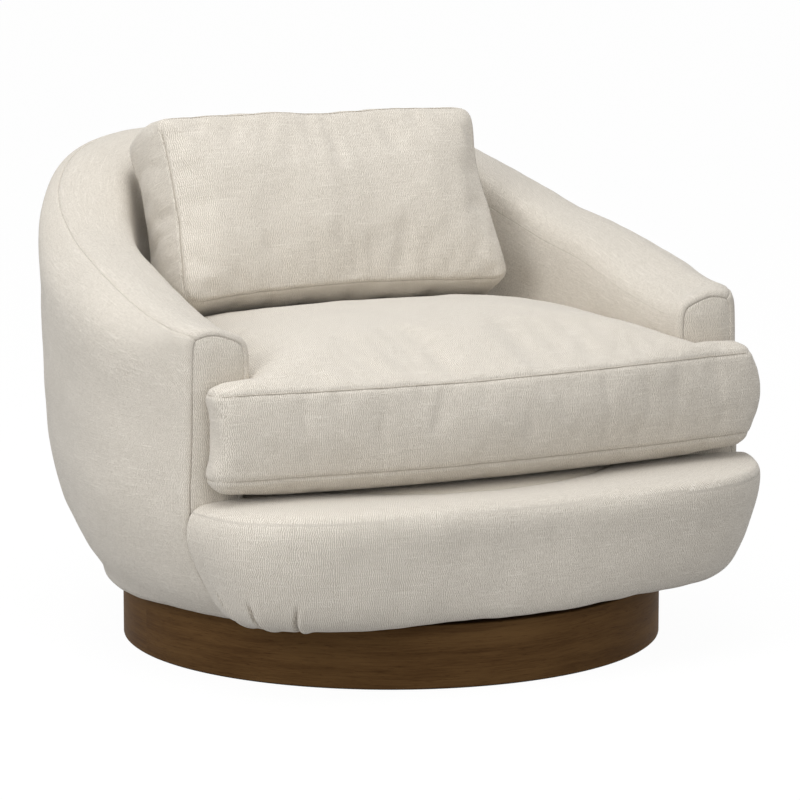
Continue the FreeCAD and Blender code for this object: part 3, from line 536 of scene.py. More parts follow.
def wear_group() -> bpy.types.NodeTree:
    """Uneven rubbing, dust and spangle on a plain surface: puts out a mask and a fine height."""
    tree = new_group("Wear", [("Vector", "Vector", None), ("Scale", "Float", 1.0)], ["Mask", "Height"])
    bench = Bench(tree)
    given = tree.nodes.new("NodeGroupInput")
    scaled = bench.add("VectorMath", {"operation": "SCALE"}, Vector=given.outputs["Vector"],
                       Scale=given.outputs["Scale"]).outputs[0]
    cloud = bench.stretched_noise(scaled, (24, 24, 24), 4.0)
    fine = bench.stretched_noise(scaled, (700, 700, 700), 2.0, 6.1)
    put = tree.nodes.new("NodeGroupOutput")
    bench.feed(put.inputs["Mask"], bench.blend((cloud, 0.7), (fine, 0.3)))
    bench.feed(put.inputs["Height"], fine)
    return tree


class Groups:
    """The shared shader groups, each made once."""

    made: dict = {}
    makers: dict = {"Weave": weave_group, "Grain": grain_group, "Wear": wear_group}

    @classmethod
    def get(cls, name: str) -> bpy.types.NodeTree:
        """The group of that name."""
        if name not in cls.made:
            cls.made[name] = cls.makers[name]()
        return cls.made[name]


# Finishes


@dataclass(frozen=True)
class Finish:
    """What every finish shares: a name, two colours and a gloss."""

    name: str
    dark: tuple
    light: tuple
    rough: float = 0.6

    def start(self) -> tuple:
        """A new material.

        Returns:
            The material, its bench and its Principled shader.
        """
        material = bpy.data.materials.new(self.name)
        material.use_nodes = True
        bench = Bench(material.node_tree)
        shader = material.node_tree.nodes["Principled BSDF"]
        return material, bench, shader

    def group(self, bench: Bench, name: str, vector: object, **values) -> bpy.types.Node:
        """Place a shared group in the material."""
        node = bench.tree.nodes.new("ShaderNodeGroup")
        node.node_tree = Groups.get(name)
        bench.feed(node.inputs["Vector"], vector)
        for label, value in values.items():
            bench.feed(node.inputs[label], value)
        return node

    def tint(self, bench: Bench, share: object, low: float, high: float) -> bpy.types.NodeSocket:
        """The colour between dark and light for a share."""
        clean = bench.step(share, low, high)
        mix = bench.add("Mix", {"data_type": "RGBA"})
        bench.feed(mix.inputs[0], clean)
        bench.feed(mix.inputs[6], (*self.dark, 1))
        bench.feed(mix.inputs[7], (*self.light, 1))
        return mix.outputs[2]

    def bump(self, bench: Bench, shader: bpy.types.Node, height: object, strength: float,
             distance: float) -> None:
        """Join a height to the shader as a bump."""
        node = bench.add("Bump", Height=height, Strength=strength, Distance=distance)
        bench.feed(shader.inputs["Normal"], node.outputs[0])


@dataclass(frozen=True)
class WovenCloth(Finish):
    """Woven upholstery cloth that follows the piece's cloth coordinates."""

    slub: float = 1.0
    sheen: float = 0.25
    bump_height: float = 0.0006

    def build(self) -> bpy.types.Material:
        """Make the material."""
        material, bench, shader = self.start()
        cloth = bench.add("UVMap", {"uv_map": "Cloth"}).outputs[0]
        weave = self.group(bench, "Weave", cloth, Slub=self.slub)
        bench.feed(shader.inputs["Base Color"], self.tint(bench, weave.outputs["Shade"], 0.12, 0.90))
        rough = bench.math("ADD", bench.math("MULTIPLY", weave.outputs["Height"], -0.12), self.rough)
        bench.feed(shader.inputs["Roughness"], rough)
        shader.inputs["Sheen Weight"].default_value = self.sheen
        shader.inputs["Sheen Roughness"].default_value = 0.5
        shader.inputs["Specular IOR Level"].default_value = 0.15
        self.bump(bench, shader, weave.outputs["Height"], 0.55, self.bump_height)
        return material


@dataclass(frozen=True)
class Wood(Finish):
    """Wood with its grain along X of the given coordinates."""

    uv: bool = False
    scale: float = 1.0
    gloss: float = 0.35
    turn: tuple = (0.0, 0.0, 0.0)

    def build(self) -> bpy.types.Material:
        """Make the material."""
        material, bench, shader = self.start()
        if self.uv:
            vector = bench.add("UVMap", {"uv_map": "Cloth"}).outputs[0]
        else:
            vector = bench.add("TexCoord").outputs["Object"]
        vector = bench.add("Mapping", Vector=vector, Rotation=self.turn).outputs[0]
        grain = self.group(bench, "Grain", vector, Scale=self.scale)
        bench.feed(shader.inputs["Base Color"], self.tint(bench, grain.outputs["Shade"], 0.30, 0.66))
        rough = bench.math("ADD", bench.math("MULTIPLY", grain.outputs["Shade"], 0.16), self.rough - 0.08)
        bench.feed(shader.inputs["Roughness"], rough)
        shader.inputs["Specular IOR Level"].default_value = self.gloss
        self.bump(bench, shader, grain.outputs["Height"], 0.25, 0.0004)
        return material


@dataclass(frozen=True)
class Plain(Finish):
    """Metal, felt or foam with uneven rubbing."""

    metal: float = 0.0
    scale: float = 1.0
    bump_height: float = 0.0002

    def build(self) -> bpy.types.Material:
        """Make the material."""
        material, bench, shader = self.start()
        vector = bench.add("TexCoord").outputs["Object"]
        wear = self.group(bench, "Wear", vector, Scale=self.scale)
        bench.feed(shader.inputs["Base Color"], self.tint(bench, wear.outputs["Mask"], 0.30, 0.70))
        rough = bench.math("ADD", bench.math("MULTIPLY", wear.outputs["Mask"], 0.2), self.rough - 0.1)
        bench.feed(shader.inputs["Roughness"], rough)
        shader.inputs["Metallic"].default_value = self.metal
        self.bump(bench, shader, wear.outputs["Height"], 0.3, self.bump_height)
        return material


OATMEAL = WovenCloth("Oatmeal woven cloth", (0.475, 0.432, 0.370), (0.800, 0.752, 0.675), 0.92, slub=0.62)
# Painted shade: the seam tubes take a cloth darker than the oatmeal cloth, which stands for the shadow in
# the seams' grooves.
SEAM = WovenCloth("Seam groove painted shade", (0.36, 0.32, 0.265), (0.56, 0.51, 0.435), 0.95, slub=0.2)
DRUM_WOOD = Wood("Dark stained veneer", (0.067, 0.0315, 0.0110), (0.146, 0.079, 0.0300), 0.62,
                 uv=True, gloss=0.04)
BOARD_WOOD = Wood("Bare plywood", (0.40, 0.27, 0.15), (0.70, 0.54, 0.35), 0.7)
CROSS_WOOD = Wood("Bare hardwood", (0.36, 0.24, 0.13), (0.62, 0.46, 0.29), 0.68, turn=(0, 0, math.pi / 2))
BLACK_STEEL = Plain("Black coated steel", (0.012, 0.012, 0.013), (0.035, 0.035, 0.037), 0.45)
ZINC = Plain("Zinc plated steel", (0.42, 0.43, 0.44), (0.66, 0.67, 0.68), 0.34, metal=1.0)
BEARING = Plain("Polished bearing steel", (0.62, 0.62, 0.63), (0.80, 0.80, 0.81), 0.16, metal=1.0)
SPRING_WIRE = Plain("Oiled spring wire", (0.10, 0.10, 0.11), (0.22, 0.22, 0.23), 0.38, metal=1.0)
FELT = Plain("Black felt", (0.010, 0.010, 0.011), (0.045, 0.045, 0.047), 0.95, bump_height=0.001)
LINING = WovenCloth("Black lining cloth", (0.008, 0.008, 0.009), (0.040, 0.040, 0.043), 0.95, slub=0.3)
DECK_CLOTH = WovenCloth("Deck lining cloth", (0.45, 0.40, 0.33), (0.72, 0.67, 0.58), 0.95, slub=0.3)


class Wardrobe:
    """Gives each finish's material, made once."""

    def __init__(self) -> None:
        """Start with no materials."""
        self.made: dict = {}

    def dress(self, item: bpy.types.Object, finish: Finish) -> bpy.types.Object:
        """Put a finish on an object.

        Args:
            item: the object.
            finish: its finish.

        Returns:
            The same object.
        """
        if finish.name not in self.made:
            self.made[finish.name] = finish.build()
        item.data.materials.clear()
        item.data.materials.append(self.made[finish.name])
        return item


WARDROBE = Wardrobe()


def seat_piece(item: bpy.types.Object, body: Body, finish: Finish,
               nodes: Sequence[str] = ()) -> bpy.types.Object:
    """Dress a piece, hang it on its body and hide the CAD nodes that it stands for.

    Args:
        item: the piece.
        body: the body it rides on.
        finish: its finish.
        nodes: the CAD nodes that it stands for.

    Returns:
        The same piece.
    """
    WARDROBE.dress(item, finish)
    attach(item, body.value)
    if nodes:
        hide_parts(*nodes)
    LOG.info("%s: %d faces", item.name, len(item.data.polygons))
    return item


# The tub


@dataclass
class TubForm:
    """The shape of the upholstered wall: its section at every direction round the chair."""

    half_width: float = 0.478
    back: float = 0.513
    front_curve: float = 0.470
    inner_half: float = 0.335
    inner_back_top: float = 0.365
    inner_back_low: float = 0.262
    band_half: float = 0.416
    band_back: float = 0.488
    band_gap: float = 0.008
    wall_power: float = 2.0
    band_power: float = 2.7
    inner_power: float = 3.6
    lip_radius: float = 0.399
    lip_height: float = 0.0895
    lip_return: float = 0.016
    arm_height: float = 0.485
    rise_turns: tuple = (-15.0, 78.0)
    arm_turns: tuple = (25.0, -30.0)
    tip_turns: tuple = (-8.0, -30.0)
    square_turns: tuple = (0.0, 32.0)
    shoulder_depth: float = 0.082
    roll_depth: float = 0.034
    roll_deeper: float = 0.5
    foot_height: float = 0.248
    belly: float = 0.014
    belly_at_tip: float = 0.2
    # Share of the way out to the wall, more at the arms, part of the belly, level to the shoulder.
    bowl: tuple = ((0.06, 0.24, 0.0, 0.045), (0.325, 0.345, 0.0, 0.145),
                   (0.795, 0.205, 0.85, 0.44), (0.926, 0.074, 0.75, 0.685))
    below_shoulder: tuple = (0.72, 0.55)
    shoulder: tuple = (0.86, 0.65)
    shoulder_more: tuple = (0.09, -0.20)
    edge_drop: tuple = (0.003, 0.005)
    crown_share: float = 0.42
    inner_levels: tuple = (0.30, 0.66)
    hollow: float = 0.003
    crest_turns: tuple = (-30.0, -12.0, 6.0, 24.0, 42.0, 60.0, 90.0)
    crests: tuple = (0.4840, 0.5040, 0.5315, 0.5560, 0.6015, 0.6540, 0.6650)
    five_turns: tuple = (-30.0, 0.0, 30.0, 60.0, 90.0)
    wall_out: tuple = (0.002, -0.007, 0.0035, 0.032, 0.0)
    band_out: tuple = (0.005, 0.006, -0.006, 0.018, -0.002)
    roll_turns: tuple = (0.0, 28.0, 48.0, 62.0, 90.0)
    roll_out: tuple = (-0.012, -0.024, -0.018, 0.024, 0.0)
    full_turns: tuple = (-30.0, 20.0, 50.0, 90.0)
    full_up: tuple = (0.0, -0.004, 0.066, 0.014)
    front: float = -0.232
    edge_radius: float = 0.0097
    low_edge_radius: float = 0.0022
    edge_levels: tuple = (0.150, 0.215)
    table: Array = field(default=None, repr=False)
    lengths: Array = field(default=None, repr=False)

    SAMPLES = 24
    FIRST = -44.0
    TURN_STEP = 0.5
    SAMPLE_TURN = 20.0
    LIP, SEAM, INSIDE, FOOT = 1, 9, 13, 16

    def oval(self, turn: float, across: float, along: float, power: float) -> float:
        """Radius of a rounded plan at a direction."""
        cosine = abs(math.cos(math.radians(turn))) / across
        sine = abs(math.sin(math.radians(turn))) / along
        return (cosine**power + sine**power) ** (-1 / power)

    def plan(self, turn: float, across: float, along: float, power: float) -> float:
        """Radius of a plan with straight sides ahead of the axis."""
        if turn <= 0:
            return across / math.cos(math.radians(turn))
        return self.oval(turn, across, along, power)

    def along(self, turns: tuple, values: tuple, turn: float) -> float:
        """A value that changes smoothly between the directions it is given at."""
        place = np.array([min(max(turn, turns[0]), turns[-1])])
        return float((spline_weights(np.array(turns), place) @ np.array(values))[0])

    def controls(self, turn: float) -> Array:
        """Control points (radius, height) of the section at a direction from the side."""
        depth = self.back if turn > 0 else self.front_curve
        wall = self.oval(turn, self.half_width, depth, self.wall_power)
        wall += self.along(self.five_turns, self.wall_out, turn)
        crest = self.along(self.crest_turns, self.crests, turn)
        band = self.plan(turn, self.band_half, self.band_back, self.band_power)
        band = min(band + self.along(self.five_turns, self.band_out, turn), wall - self.band_gap)
        roll = self.plan(turn, self.inner_half, self.inner_back_top, self.inner_power)
        roll += self.along(self.roll_turns, self.roll_out, turn)
        foot = self.plan(turn, self.inner_half, self.inner_back_low, self.inner_power)
        rise = float(smooth(*self.rise_turns, turn))
        arm = float(smooth(*self.arm_turns, turn))
        square = float(smooth(*self.square_turns, turn))
        belly = arm * self.belly * (1 - (1 - self.belly_at_tip) * float(smooth(*self.tip_turns, turn)))
        full = crest - self.shoulder_depth + self.along(self.full_turns, self.full_up, turn)
        edge = crest - self.edge_drop[0] - self.edge_drop[1] * arm
        drop = self.roll_depth * (1 + self.roll_deeper * rise)
        width = (band - roll) * self.crown_share
        first_full = self.arm_height - self.shoulder_depth

        bowl = [
            (self.lip_radius + (wall - self.lip_radius) * (share + more * arm) + part * belly,
             self.lip_height + level * (first_full - self.lip_height))
            for share, more, part, level in self.bowl
        ]
        low_radius, low_height = bowl[-1]
        out, up = (base + more * square for base, more in zip(self.shoulder, self.shoulder_more))
        inner_top = crest - drop
        inner_wall = [
            (roll + (foot - roll) * level - self.hollow, inner_top + (self.foot_height - inner_top) * level)
            for level in self.inner_levels
        ]
        return np.array([
            (self.lip_radius - self.lip_return, self.lip_height + 0.001),
            (self.lip_radius, self.lip_height),
            *bowl,
            (low_radius + (wall - low_radius) * self.below_shoulder[0],
             low_height + (full - low_height) * self.below_shoulder[1]),
            (wall, full),
            (band + (wall - band) * out, full + (edge - full) * up),
            (band, edge),
            ((band + roll + width) / 2, crest),
            (roll + width, edge + 0.002 * arm),
            (roll + width * 0.27, edge - (drop - 0.003) * 0.30),
            (roll, inner_top),
            *inner_wall,
            (foot, self.foot_height),
        ])

    def prepare(self) -> None:
        """Tabulate the smooth section at every half degree."""
        turns = np.arange(self.FIRST, 90.01, self.TURN_STEP)
        share = np.linspace(0, 1, self.FOOT * self.SAMPLES + 1)
        self.table = np.array([curve_through(self.controls(float(turn)), share) for turn in turns])
        self.lengths = running_length(self.table[int((self.SAMPLE_TURN - self.FIRST) / self.TURN_STEP)])

    def length_at(self, place: Array) -> Array:
        """Distance along the sample section at places along it."""
        return np.interp(place, np.arange(len(self.lengths)) / self.SAMPLES, self.lengths)

    def stations(self, low: float, high: float, step: float, fine: float = 0.0012) -> Array:
        """Places along the section at even distances, with closer rows at both ends.

        Args:
            low: first place.
            high: last place.
            step: distance between rows away from the ends.
            fine: distance between the rows next to an end.

        Returns:
            Rising places from low to high.
        """
        start, end = self.length_at(np.array([low, high]))
        inner = np.linspace(start + 4 * fine, end - 4 * fine, max(3, int((end - start) / step)))
        edge = np.array([0, 1, 2.2]) * fine
        spots = np.concatenate([start + edge, inner, (end - edge)[::-1]])
        return np.interp(spots, self.lengths, np.arange(len(self.lengths)) / self.SAMPLES)

    def section(self, turn: Array, place: Array) -> tuple:
        """Radius and height at directions from the side and at places along the section."""
        row = np.clip((turn - self.FIRST) / self.TURN_STEP, 0, len(self.table) - 1.001)
        column = np.clip(place * self.SAMPLES, 0, self.table.shape[1] - 1.001)
        r0, c0 = row.astype(int), column.astype(int)
        fr, fc = (row - r0)[..., None], (column - c0)[..., None]
        t = self.table
        found = (
            (t[r0, c0] * (1 - fc) + t[r0, c0 + 1] * fc) * (1 - fr)
            + (t[r0 + 1, c0] * (1 - fc) + t[r0 + 1, c0 + 1] * fc) * fr
        )
        return found[..., 0], found[..., 1]

    def point(self, turn: Array, place: Array) -> Array:
        """Points in the shared frame at directions 0 to 180 round the back."""
        turn, place = np.broadcast_arrays(np.asarray(turn, float), np.asarray(place, float))
        from_side = np.where(turn > 90, 180 - turn, turn)
        radius, height = self.section(from_side, place)
        angle = np.radians(turn)
        return np.stack([radius * np.cos(angle), radius * np.sin(angle), height], axis=-1)

    def turn_at(self, place: Array, y: float) -> Array:
        """Direction at which each place along the section meets a plane across the chair."""
        turn = np.full(len(place), -30.0)
        for _ in range(14):
            radius, _ = self.section(turn, place)
            turn = -np.degrees(np.arcsin(np.clip(-y / radius, 0, 0.999)))
        return turn

    def front_edge(self, place: Array) -> tuple:
        """The sharp front edge of the wall and how its cover rolls over onto the arm front.

        Args:
            place: places along the section.

        Returns:
            The edge's points, the points where the roll ends, and where it starts as directions.
        """
        every = np.arange(self.table.shape[1]) / self.SAMPLES
        edge = self.point(self.turn_at(every, self.front), every)
        tangent = np.gradient(edge[:, [0, 2]], axis=0)
        tangent /= np.linalg.norm(tangent, axis=1, keepdims=True)
        inward = np.stack([-tangent[:, 1], np.zeros(len(every)), tangent[:, 0]], axis=1)
        grown = smooth(*self.edge_levels, edge[:, 2])
        radius = self.low_edge_radius + (self.edge_radius - self.low_edge_radius) * grown
        corner = along_line(place, every, edge)
        ends = along_line(place, every, edge + inward * radius[:, None])
        back = np.interp(place, every, radius)
        starts = np.array([self.turn_at(np.array([p]), self.front + b)[0] for p, b in zip(place, back)])
        return corner, ends, starts


@dataclass
class Tub:
    """The tub's covers: outer cover, rim band, inner cover and arm fronts."""

    form: TubForm
    step: float = 0.0055
    sweep: float = 240.0
    mean_radius: float = 0.47
    cover: float = 0.005
    crease: float = 0.0014
    crease_width: float = 0.0026
    front_crease: float = 0.3
    roll_columns: int = 6
    waves: tuple = ((0.0010, 0.16, 5), (0.0005, 0.05, 9))
    panel_low: float = 0.140
    panel_points: int = 180
    panel_shares: tuple = (0, 0.03, 0.07, 0.13, 0.2, 0.3, 0.4, 0.5, 0.6, 0.7, 0.8, 0.87, 0.93, 0.97, 1)
    panel_crown: float = 0.0032
    panel_border: float = 0.0007
    panel_cover: float = 0.006

    def wrap(self, name: str, low: float, high: float, seams: tuple) -> bpy.types.Object:
        """One cover that runs from arm front to arm front round the back.

        Args:
            name: the piece's name.
            low: first place along the section.
            high: last place.
            seams: places along the section where the cover is sewn down.

        Returns:
            The new piece.
        """
        form = self.form
        place = form.stations(low, high, self.step)
        corner, ends, starts = form.front_edge(place)
        count = int(math.radians(self.sweep) * self.mean_radius / self.step)
        turn = starts[:, None] + np.linspace(0, 1, count)[None] * (180 - 2 * starts)[:, None]
        sheet = form.point(turn, np.broadcast_to(place[:, None], turn.shape))
        shares = np.arange(1, self.roll_columns + 1) / self.roll_columns
        rolled = [corner_arc(sheet[:, 0], corner, ends, share) for share in shares]
        right = np.stack(rolled[::-1], axis=1)
        left = np.stack(rolled, axis=1) * [-1, 1, 1]
        places = np.concatenate([right, sheet, left], axis=1)

        along = np.linalg.norm(np.diff(places, axis=1), axis=2)
        around = np.concatenate([np.zeros((len(place), 1)), np.cumsum(along, axis=1)], axis=1)
        from_front = np.minimum(around, around[:, -1:] - around)
        upward = np.broadcast_to(form.length_at(place)[:, None], around.shape)
        depth = self.front_crease * self.crease * groove(from_front, self.crease_width)
        for seam in seams:
            depth = depth + self.crease * groove(upward - form.length_at(seam), self.crease_width)
        soft = unevenness(places.reshape(-1, 3), self.waves) * smooth(0, 0.05, from_front.ravel())
        places = places + sheet_normals(places) * (soft.reshape(depth.shape) - depth)[..., None]
        middle_around = around - around[:, around.shape[1] // 2][:, None]
        item = grid_piece(name, places, np.stack([middle_around, upward], axis=-1))
        shell(item, self.cover)
        shade(item)
        return item

    def arm_front(self, name: str, mirror: bool) -> bpy.types.Object:
        """The flat, slightly crowned panel on the end of an arm.

        Args:
            name: the piece's name.
            mirror: whether it is the left arm's.

        Returns:
            The new piece.
        """
        form = self.form
        _, ends, _ = form.front_edge(np.linspace(form.LIP, form.FOOT, 700))
        keep = ends[:, 2] > self.panel_low
        first, last = np.argmax(keep), len(keep) - np.argmax(keep[::-1])
        gap = running_length(ends[first:last])
        edge = along_line(np.linspace(0, gap[-1], self.panel_points), gap, ends[first:last])
        half = self.panel_points // 2
        share = np.array(self.panel_shares)[:, None, None]
        places = edge[:half] * (1 - share) + edge[:half - 1:-1] * share
        away = np.linalg.norm(places[:, :, None] - edge[None, None], axis=3).min(axis=2)
        crown = self.panel_border * groove(away, 0.002) - self.panel_crown * smooth(0, 0.02, away)
        places[..., 1] = form.front + crown
        if mirror:
            places[..., 0] *= -1
        item = grid_piece(name, places, places[..., [0, 2]])
        merge_close(item)
        if normals(item)[:, 1].mean() > 0:
            flip_faces(item)
        shell(item, self.panel_cover)
        shade(item)
        return item

    def build(self) -> None:
        """Make and seat the tub's covers."""
        form = self.form
        outer = self.wrap("tub_outer_wrap", 0, form.SEAM, (form.SEAM,))
        band = self.wrap("tub_rim_wrap", form.SEAM, form.INSIDE, (form.SEAM,))
        inner = self.wrap("tub_inner_wrap", form.INSIDE, form.FOOT, ())
        for item, node in ((outer, "outer_cover"), (band, "rim_band"), (inner, "inner_cover")):
            seat_piece(item, Body.TUB, OATMEAL, (node,))
        for side, mirror in (("right", False), ("left", True)):
            panel = self.arm_front(f"{side}_arm_panel", mirror)
            seat_piece(panel, Body.TUB, OATMEAL, (f"{side}_arm_front",))


@dataclass
class Pleat:
    """A small fold where the apron's cloth is taken in at its lower edge."""

    turn: float
    height: float
    lean: float
    depth: float


@dataclass
class Apron:
    """The pillow-like apron under the seat cushion."""

    half_width: float = 0.446
    front: float = 0.415
    power: float = 4.0
    lip_radius: float = 0.3985
    lip_return: float = 0.020
    top: float = 0.2555
    plane: float = -0.2345
    tucked: tuple = (0.345, 0.325)
    # Share of the way out, less at the ends, less where it lifts, level, more at the ends.
    bowl: tuple = ((0.52, 0.22, 0.06, 0.055, 0.02), (0.77, 0.25, 0.06, 0.17, 0.02),
                   (0.91, 0.12, 0.03, 0.38, 0.05))
    # Distance in from the fullest, out again where it is crisp, level, more at the ends.
    belly: tuple = ((0.001, 0.0, 0.64, 0.04), (0.001, 0.007, 0.84, 0.02))
    # Distance in from the fullest, out again where it is crisp, distance down, up again where crisp.
    fold: tuple = ((0.010, 0.012, 0.0080, 0.003), (0.032, 0.022, 0.0005, 0.0))
    crisp_turns: tuple = (-72, -50)
    lift_turns: tuple = (-75, -45)
    drawn_in_turns: tuple = (-139, -150)
    end_turns: tuple = (45, 61)
    lip_heights: tuple = (0.0850, 0.0135, 0.0070)
    left_drawn_in: float = 0.013
    first_turn: float = -154.0
    last_turn: float = -26.0
    turn_step: float = 0.5
    step: float = 0.0036
    columns: int = 400
    edge_columns: tuple = (0, 0.0012, 0.0028, 0.005)
    end_crease: float = 0.0034
    crease_width: float = 0.0026
    pleats: tuple = (
        Pleat(-143.2, 0.054, -2.6, 0.0090),
        Pleat(-138.3, 0.050, -0.6, 0.0085),
        Pleat(-132.8, 0.046, 1.4, 0.0080),
        Pleat(-38.0, 0.075, 3.0, 0.0090),
    )
    waves: tuple = ((0.0016, 0.20, 12), (0.0006, 0.06, 31))
    cover: float = 0.004
    mean_radius: float = 0.43

    def swell(self, turn: float) -> float:
        """Radius of the apron at its fullest."""
        cosine = abs(math.cos(math.radians(turn))) / self.half_width
        sine = abs(math.sin(math.radians(turn))) / self.front
        return (cosine**self.power + sine**self.power) ** (-1 / self.power)

    def lip(self, turn: Array) -> Array:
        """Height of the lower edge: highest in the middle, lowest at the left."""
        left, middle, right = self.lip_heights
        return left + middle * smooth(-128, -98, turn) - right * smooth(-72, -44, turn)

    def row(self, turn: float, place: Array) -> Array:
        """Points of the section at one direction, at places from 0 at the bottom to 1."""
        crisp, lift = float(smooth(*self.crisp_turns, turn)), float(smooth(*self.lift_turns, turn))
        full = self.swell(turn) - self.left_drawn_in * float(smooth(*self.drawn_in_turns, turn))
        low = float(self.lip(turn))
        end = float(smooth(*self.end_turns, abs(turn + 90)))
        lip, rise = self.lip_radius, self.top - low
        found = curve_through(np.array([
            (lip - self.lip_return, low + 0.001),
            (lip, low),
            *((lip + (full - lip) * (share - ends * end - lifts * lift), low + (level + more * end) * rise)
              for share, ends, lifts, level, more in self.bowl),
            *((full - back + out * crisp, low + (level + more * end) * rise)
              for back, out, level, more in self.belly),
            *((full - back + out * crisp, self.top - down + up * crisp)
              for back, out, down, up in self.fold),
            (self.tucked[0], self.top),
            (self.tucked[1], self.top - 0.001),
        ]), place)
        angle = math.radians(turn)
        return np.stack([found[:, 0] * math.cos(angle), found[:, 0] * math.sin(angle), found[:, 1]], axis=1)

    def spread_columns(self, line: Array, gap: Array) -> Array:
        """Places along a level line, closer together where a pleat crosses it.

        Args:
            line: the line's points.
            gap: their distances along the line.

        Returns:
            The distances of the columns between the two ends.
        """
        turn = np.degrees(np.arctan2(line[:, 1], line[:, 0]))
        dense = 1.0 + sum(5.0 * groove(turn - pleat.turn, 2.4) for pleat in self.pleats)
        total = np.concatenate([[0], np.cumsum((dense[1:] + dense[:-1]) / 2 * np.diff(gap))])
        first, last = np.interp([0.008, gap[-1] - 0.008], gap, total)
        return np.interp(np.linspace(first, last, self.columns - 8), total, gap)

    def level_line(self, line: Array) -> Array:
        """One level row of the apron, cut off at the plane of the arm fronts.

        Args:
            line: the row's points at every direction.

        Returns:
            Its points at the columns of the mesh.
        """
        inside = line[:, 1] < self.plane
        first, last = np.argmax(inside), len(inside) - np.argmax(inside[::-1]) - 1
        ends = []
        for a, b in ((first - 1, first), (last + 1, last)):
            t = (self.plane - line[a, 1]) / (line[b, 1] - line[a, 1])
            ends.append(line[a] + (line[b] - line[a]) * t)
        line = np.concatenate([ends[:1], line[first: last + 1], ends[1:]])
        gap = running_length(line)
        edge = np.array(self.edge_columns)
        at = np.concatenate([edge, self.spread_columns(line, gap), (gap[-1] - edge)[::-1]])
        return along_line(at, gap, line)

    def pleated(self, places: Array, turn: Array) -> Array:
        """Depth of the pleats at every point.

        Args:
            places: the apron's points.
            turn: their directions.

        Returns:
            Depths inwards, less than zero on the ridge beside a pleat.
        """
        radius = np.hypot(places[..., 0], places[..., 1])
        height = places[..., 2] - self.lip(turn)
        depth = np.zeros(radius.shape)
        for pleat in self.pleats:
            aside = np.radians(turn - pleat.turn - pleat.lean * height / pleat.height) * radius
            span = smooth(pleat.height * 1.25, pleat.height * 0.55, height) * smooth(-0.004, 0.004, height)
            depth += pleat.depth * span * groove(aside, self.crease_width)
            depth -= 0.28 * pleat.depth * span * groove(aside - 0.0075, 0.006)
        return depth

    def build(self) -> None:
        """Make and seat the apron."""
        share = np.linspace(0, 1, 400)
        length = running_length(self.row(-70.0, share))
        place = np.interp(np.linspace(0, length[-1], int(length[-1] / self.step)), length, share)
        turns = np.arange(self.first_turn, self.last_turn + 0.01, self.turn_step)
        table = np.array([self.row(float(turn), place) for turn in turns])
        places = np.array([self.level_line(table[:, i]) for i in range(len(place))])

        normal = sheet_normals(places)
        if (normal[..., :2] * places[..., :2]).sum(2).mean() < 0:
            normal = -normal
        turn = np.degrees(np.arctan2(places[..., 1], places[..., 0]))
        away = abs(places[..., 1] - self.plane)
        depth = self.end_crease * groove(away, self.crease_width) + self.pleated(places, turn)
        soft = unevenness(places.reshape(-1, 3), self.waves).reshape(depth.shape)
        soft *= smooth(0, 0.04, away) * smooth(0, 0.05, self.top + 0.02 - places[..., 2])
        places = places + normal * (soft - depth)[..., None]
        height, fold = places[..., 2], self.top - 0.012
        inwards = self.mean_radius - np.hypot(places[..., 0], places[..., 1])
        across = np.radians(turn + 90) * self.mean_radius
        cloth = np.stack([across, np.where(height > fold, fold + inwards, height)], axis=-1)
        item = grid_piece("apron_wrap", places, cloth)
        if (normals(item)[:, :2] * coordinates(item)[:, :2]).sum(1).mean() < 0:
            flip_faces(item)
        shell(item, self.cover)
        shade(item)
        seat_piece(item, Body.TUB, OATMEAL, ("front_apron",))


# Cushions


def round_corners(corners: Sequence[tuple], radii: Sequence[float], step: float = 0.002) -> Array:
    """A closed outline with rounded corners.

    Args:
        corners: corner points in order.
        radii: the rounding at each corner.
        step: distance between points.

    Returns:
        Points along the outline, N by 2.
    """
    count = len(corners)
    points = [np.array(c, float) for c in corners]
    path = []
    for i in range(count):
        before, here, after = points[i - 1], points[i], points[(i + 1) % count]
        to_before = (before - here) / np.linalg.norm(before - here)
        to_after = (after - here) / np.linalg.norm(after - here)
        start, end = here + to_before * radii[i], here + to_after * radii[i]
        for t in np.linspace(0, 1, 9):
            path.append(corner_arc(start, here, end, t))
    path.append(path[0])
    line = np.array(path)
    gap = running_length(line)
    return along_line(np.arange(0, gap[-1], step), gap, line)


CHUNK = 4000


def outline_distance(points: Array, outline: Array) -> Array:
    """Distance of each point to the nearest point of an outline."""
    best = np.full(len(points), np.inf)
    for start in range(0, len(points), CHUNK):
        part = points[start: start + CHUNK]
        best[start: start + CHUNK] = np.linalg.norm(part[:, None] - outline[None], axis=2).min(1)
    return best


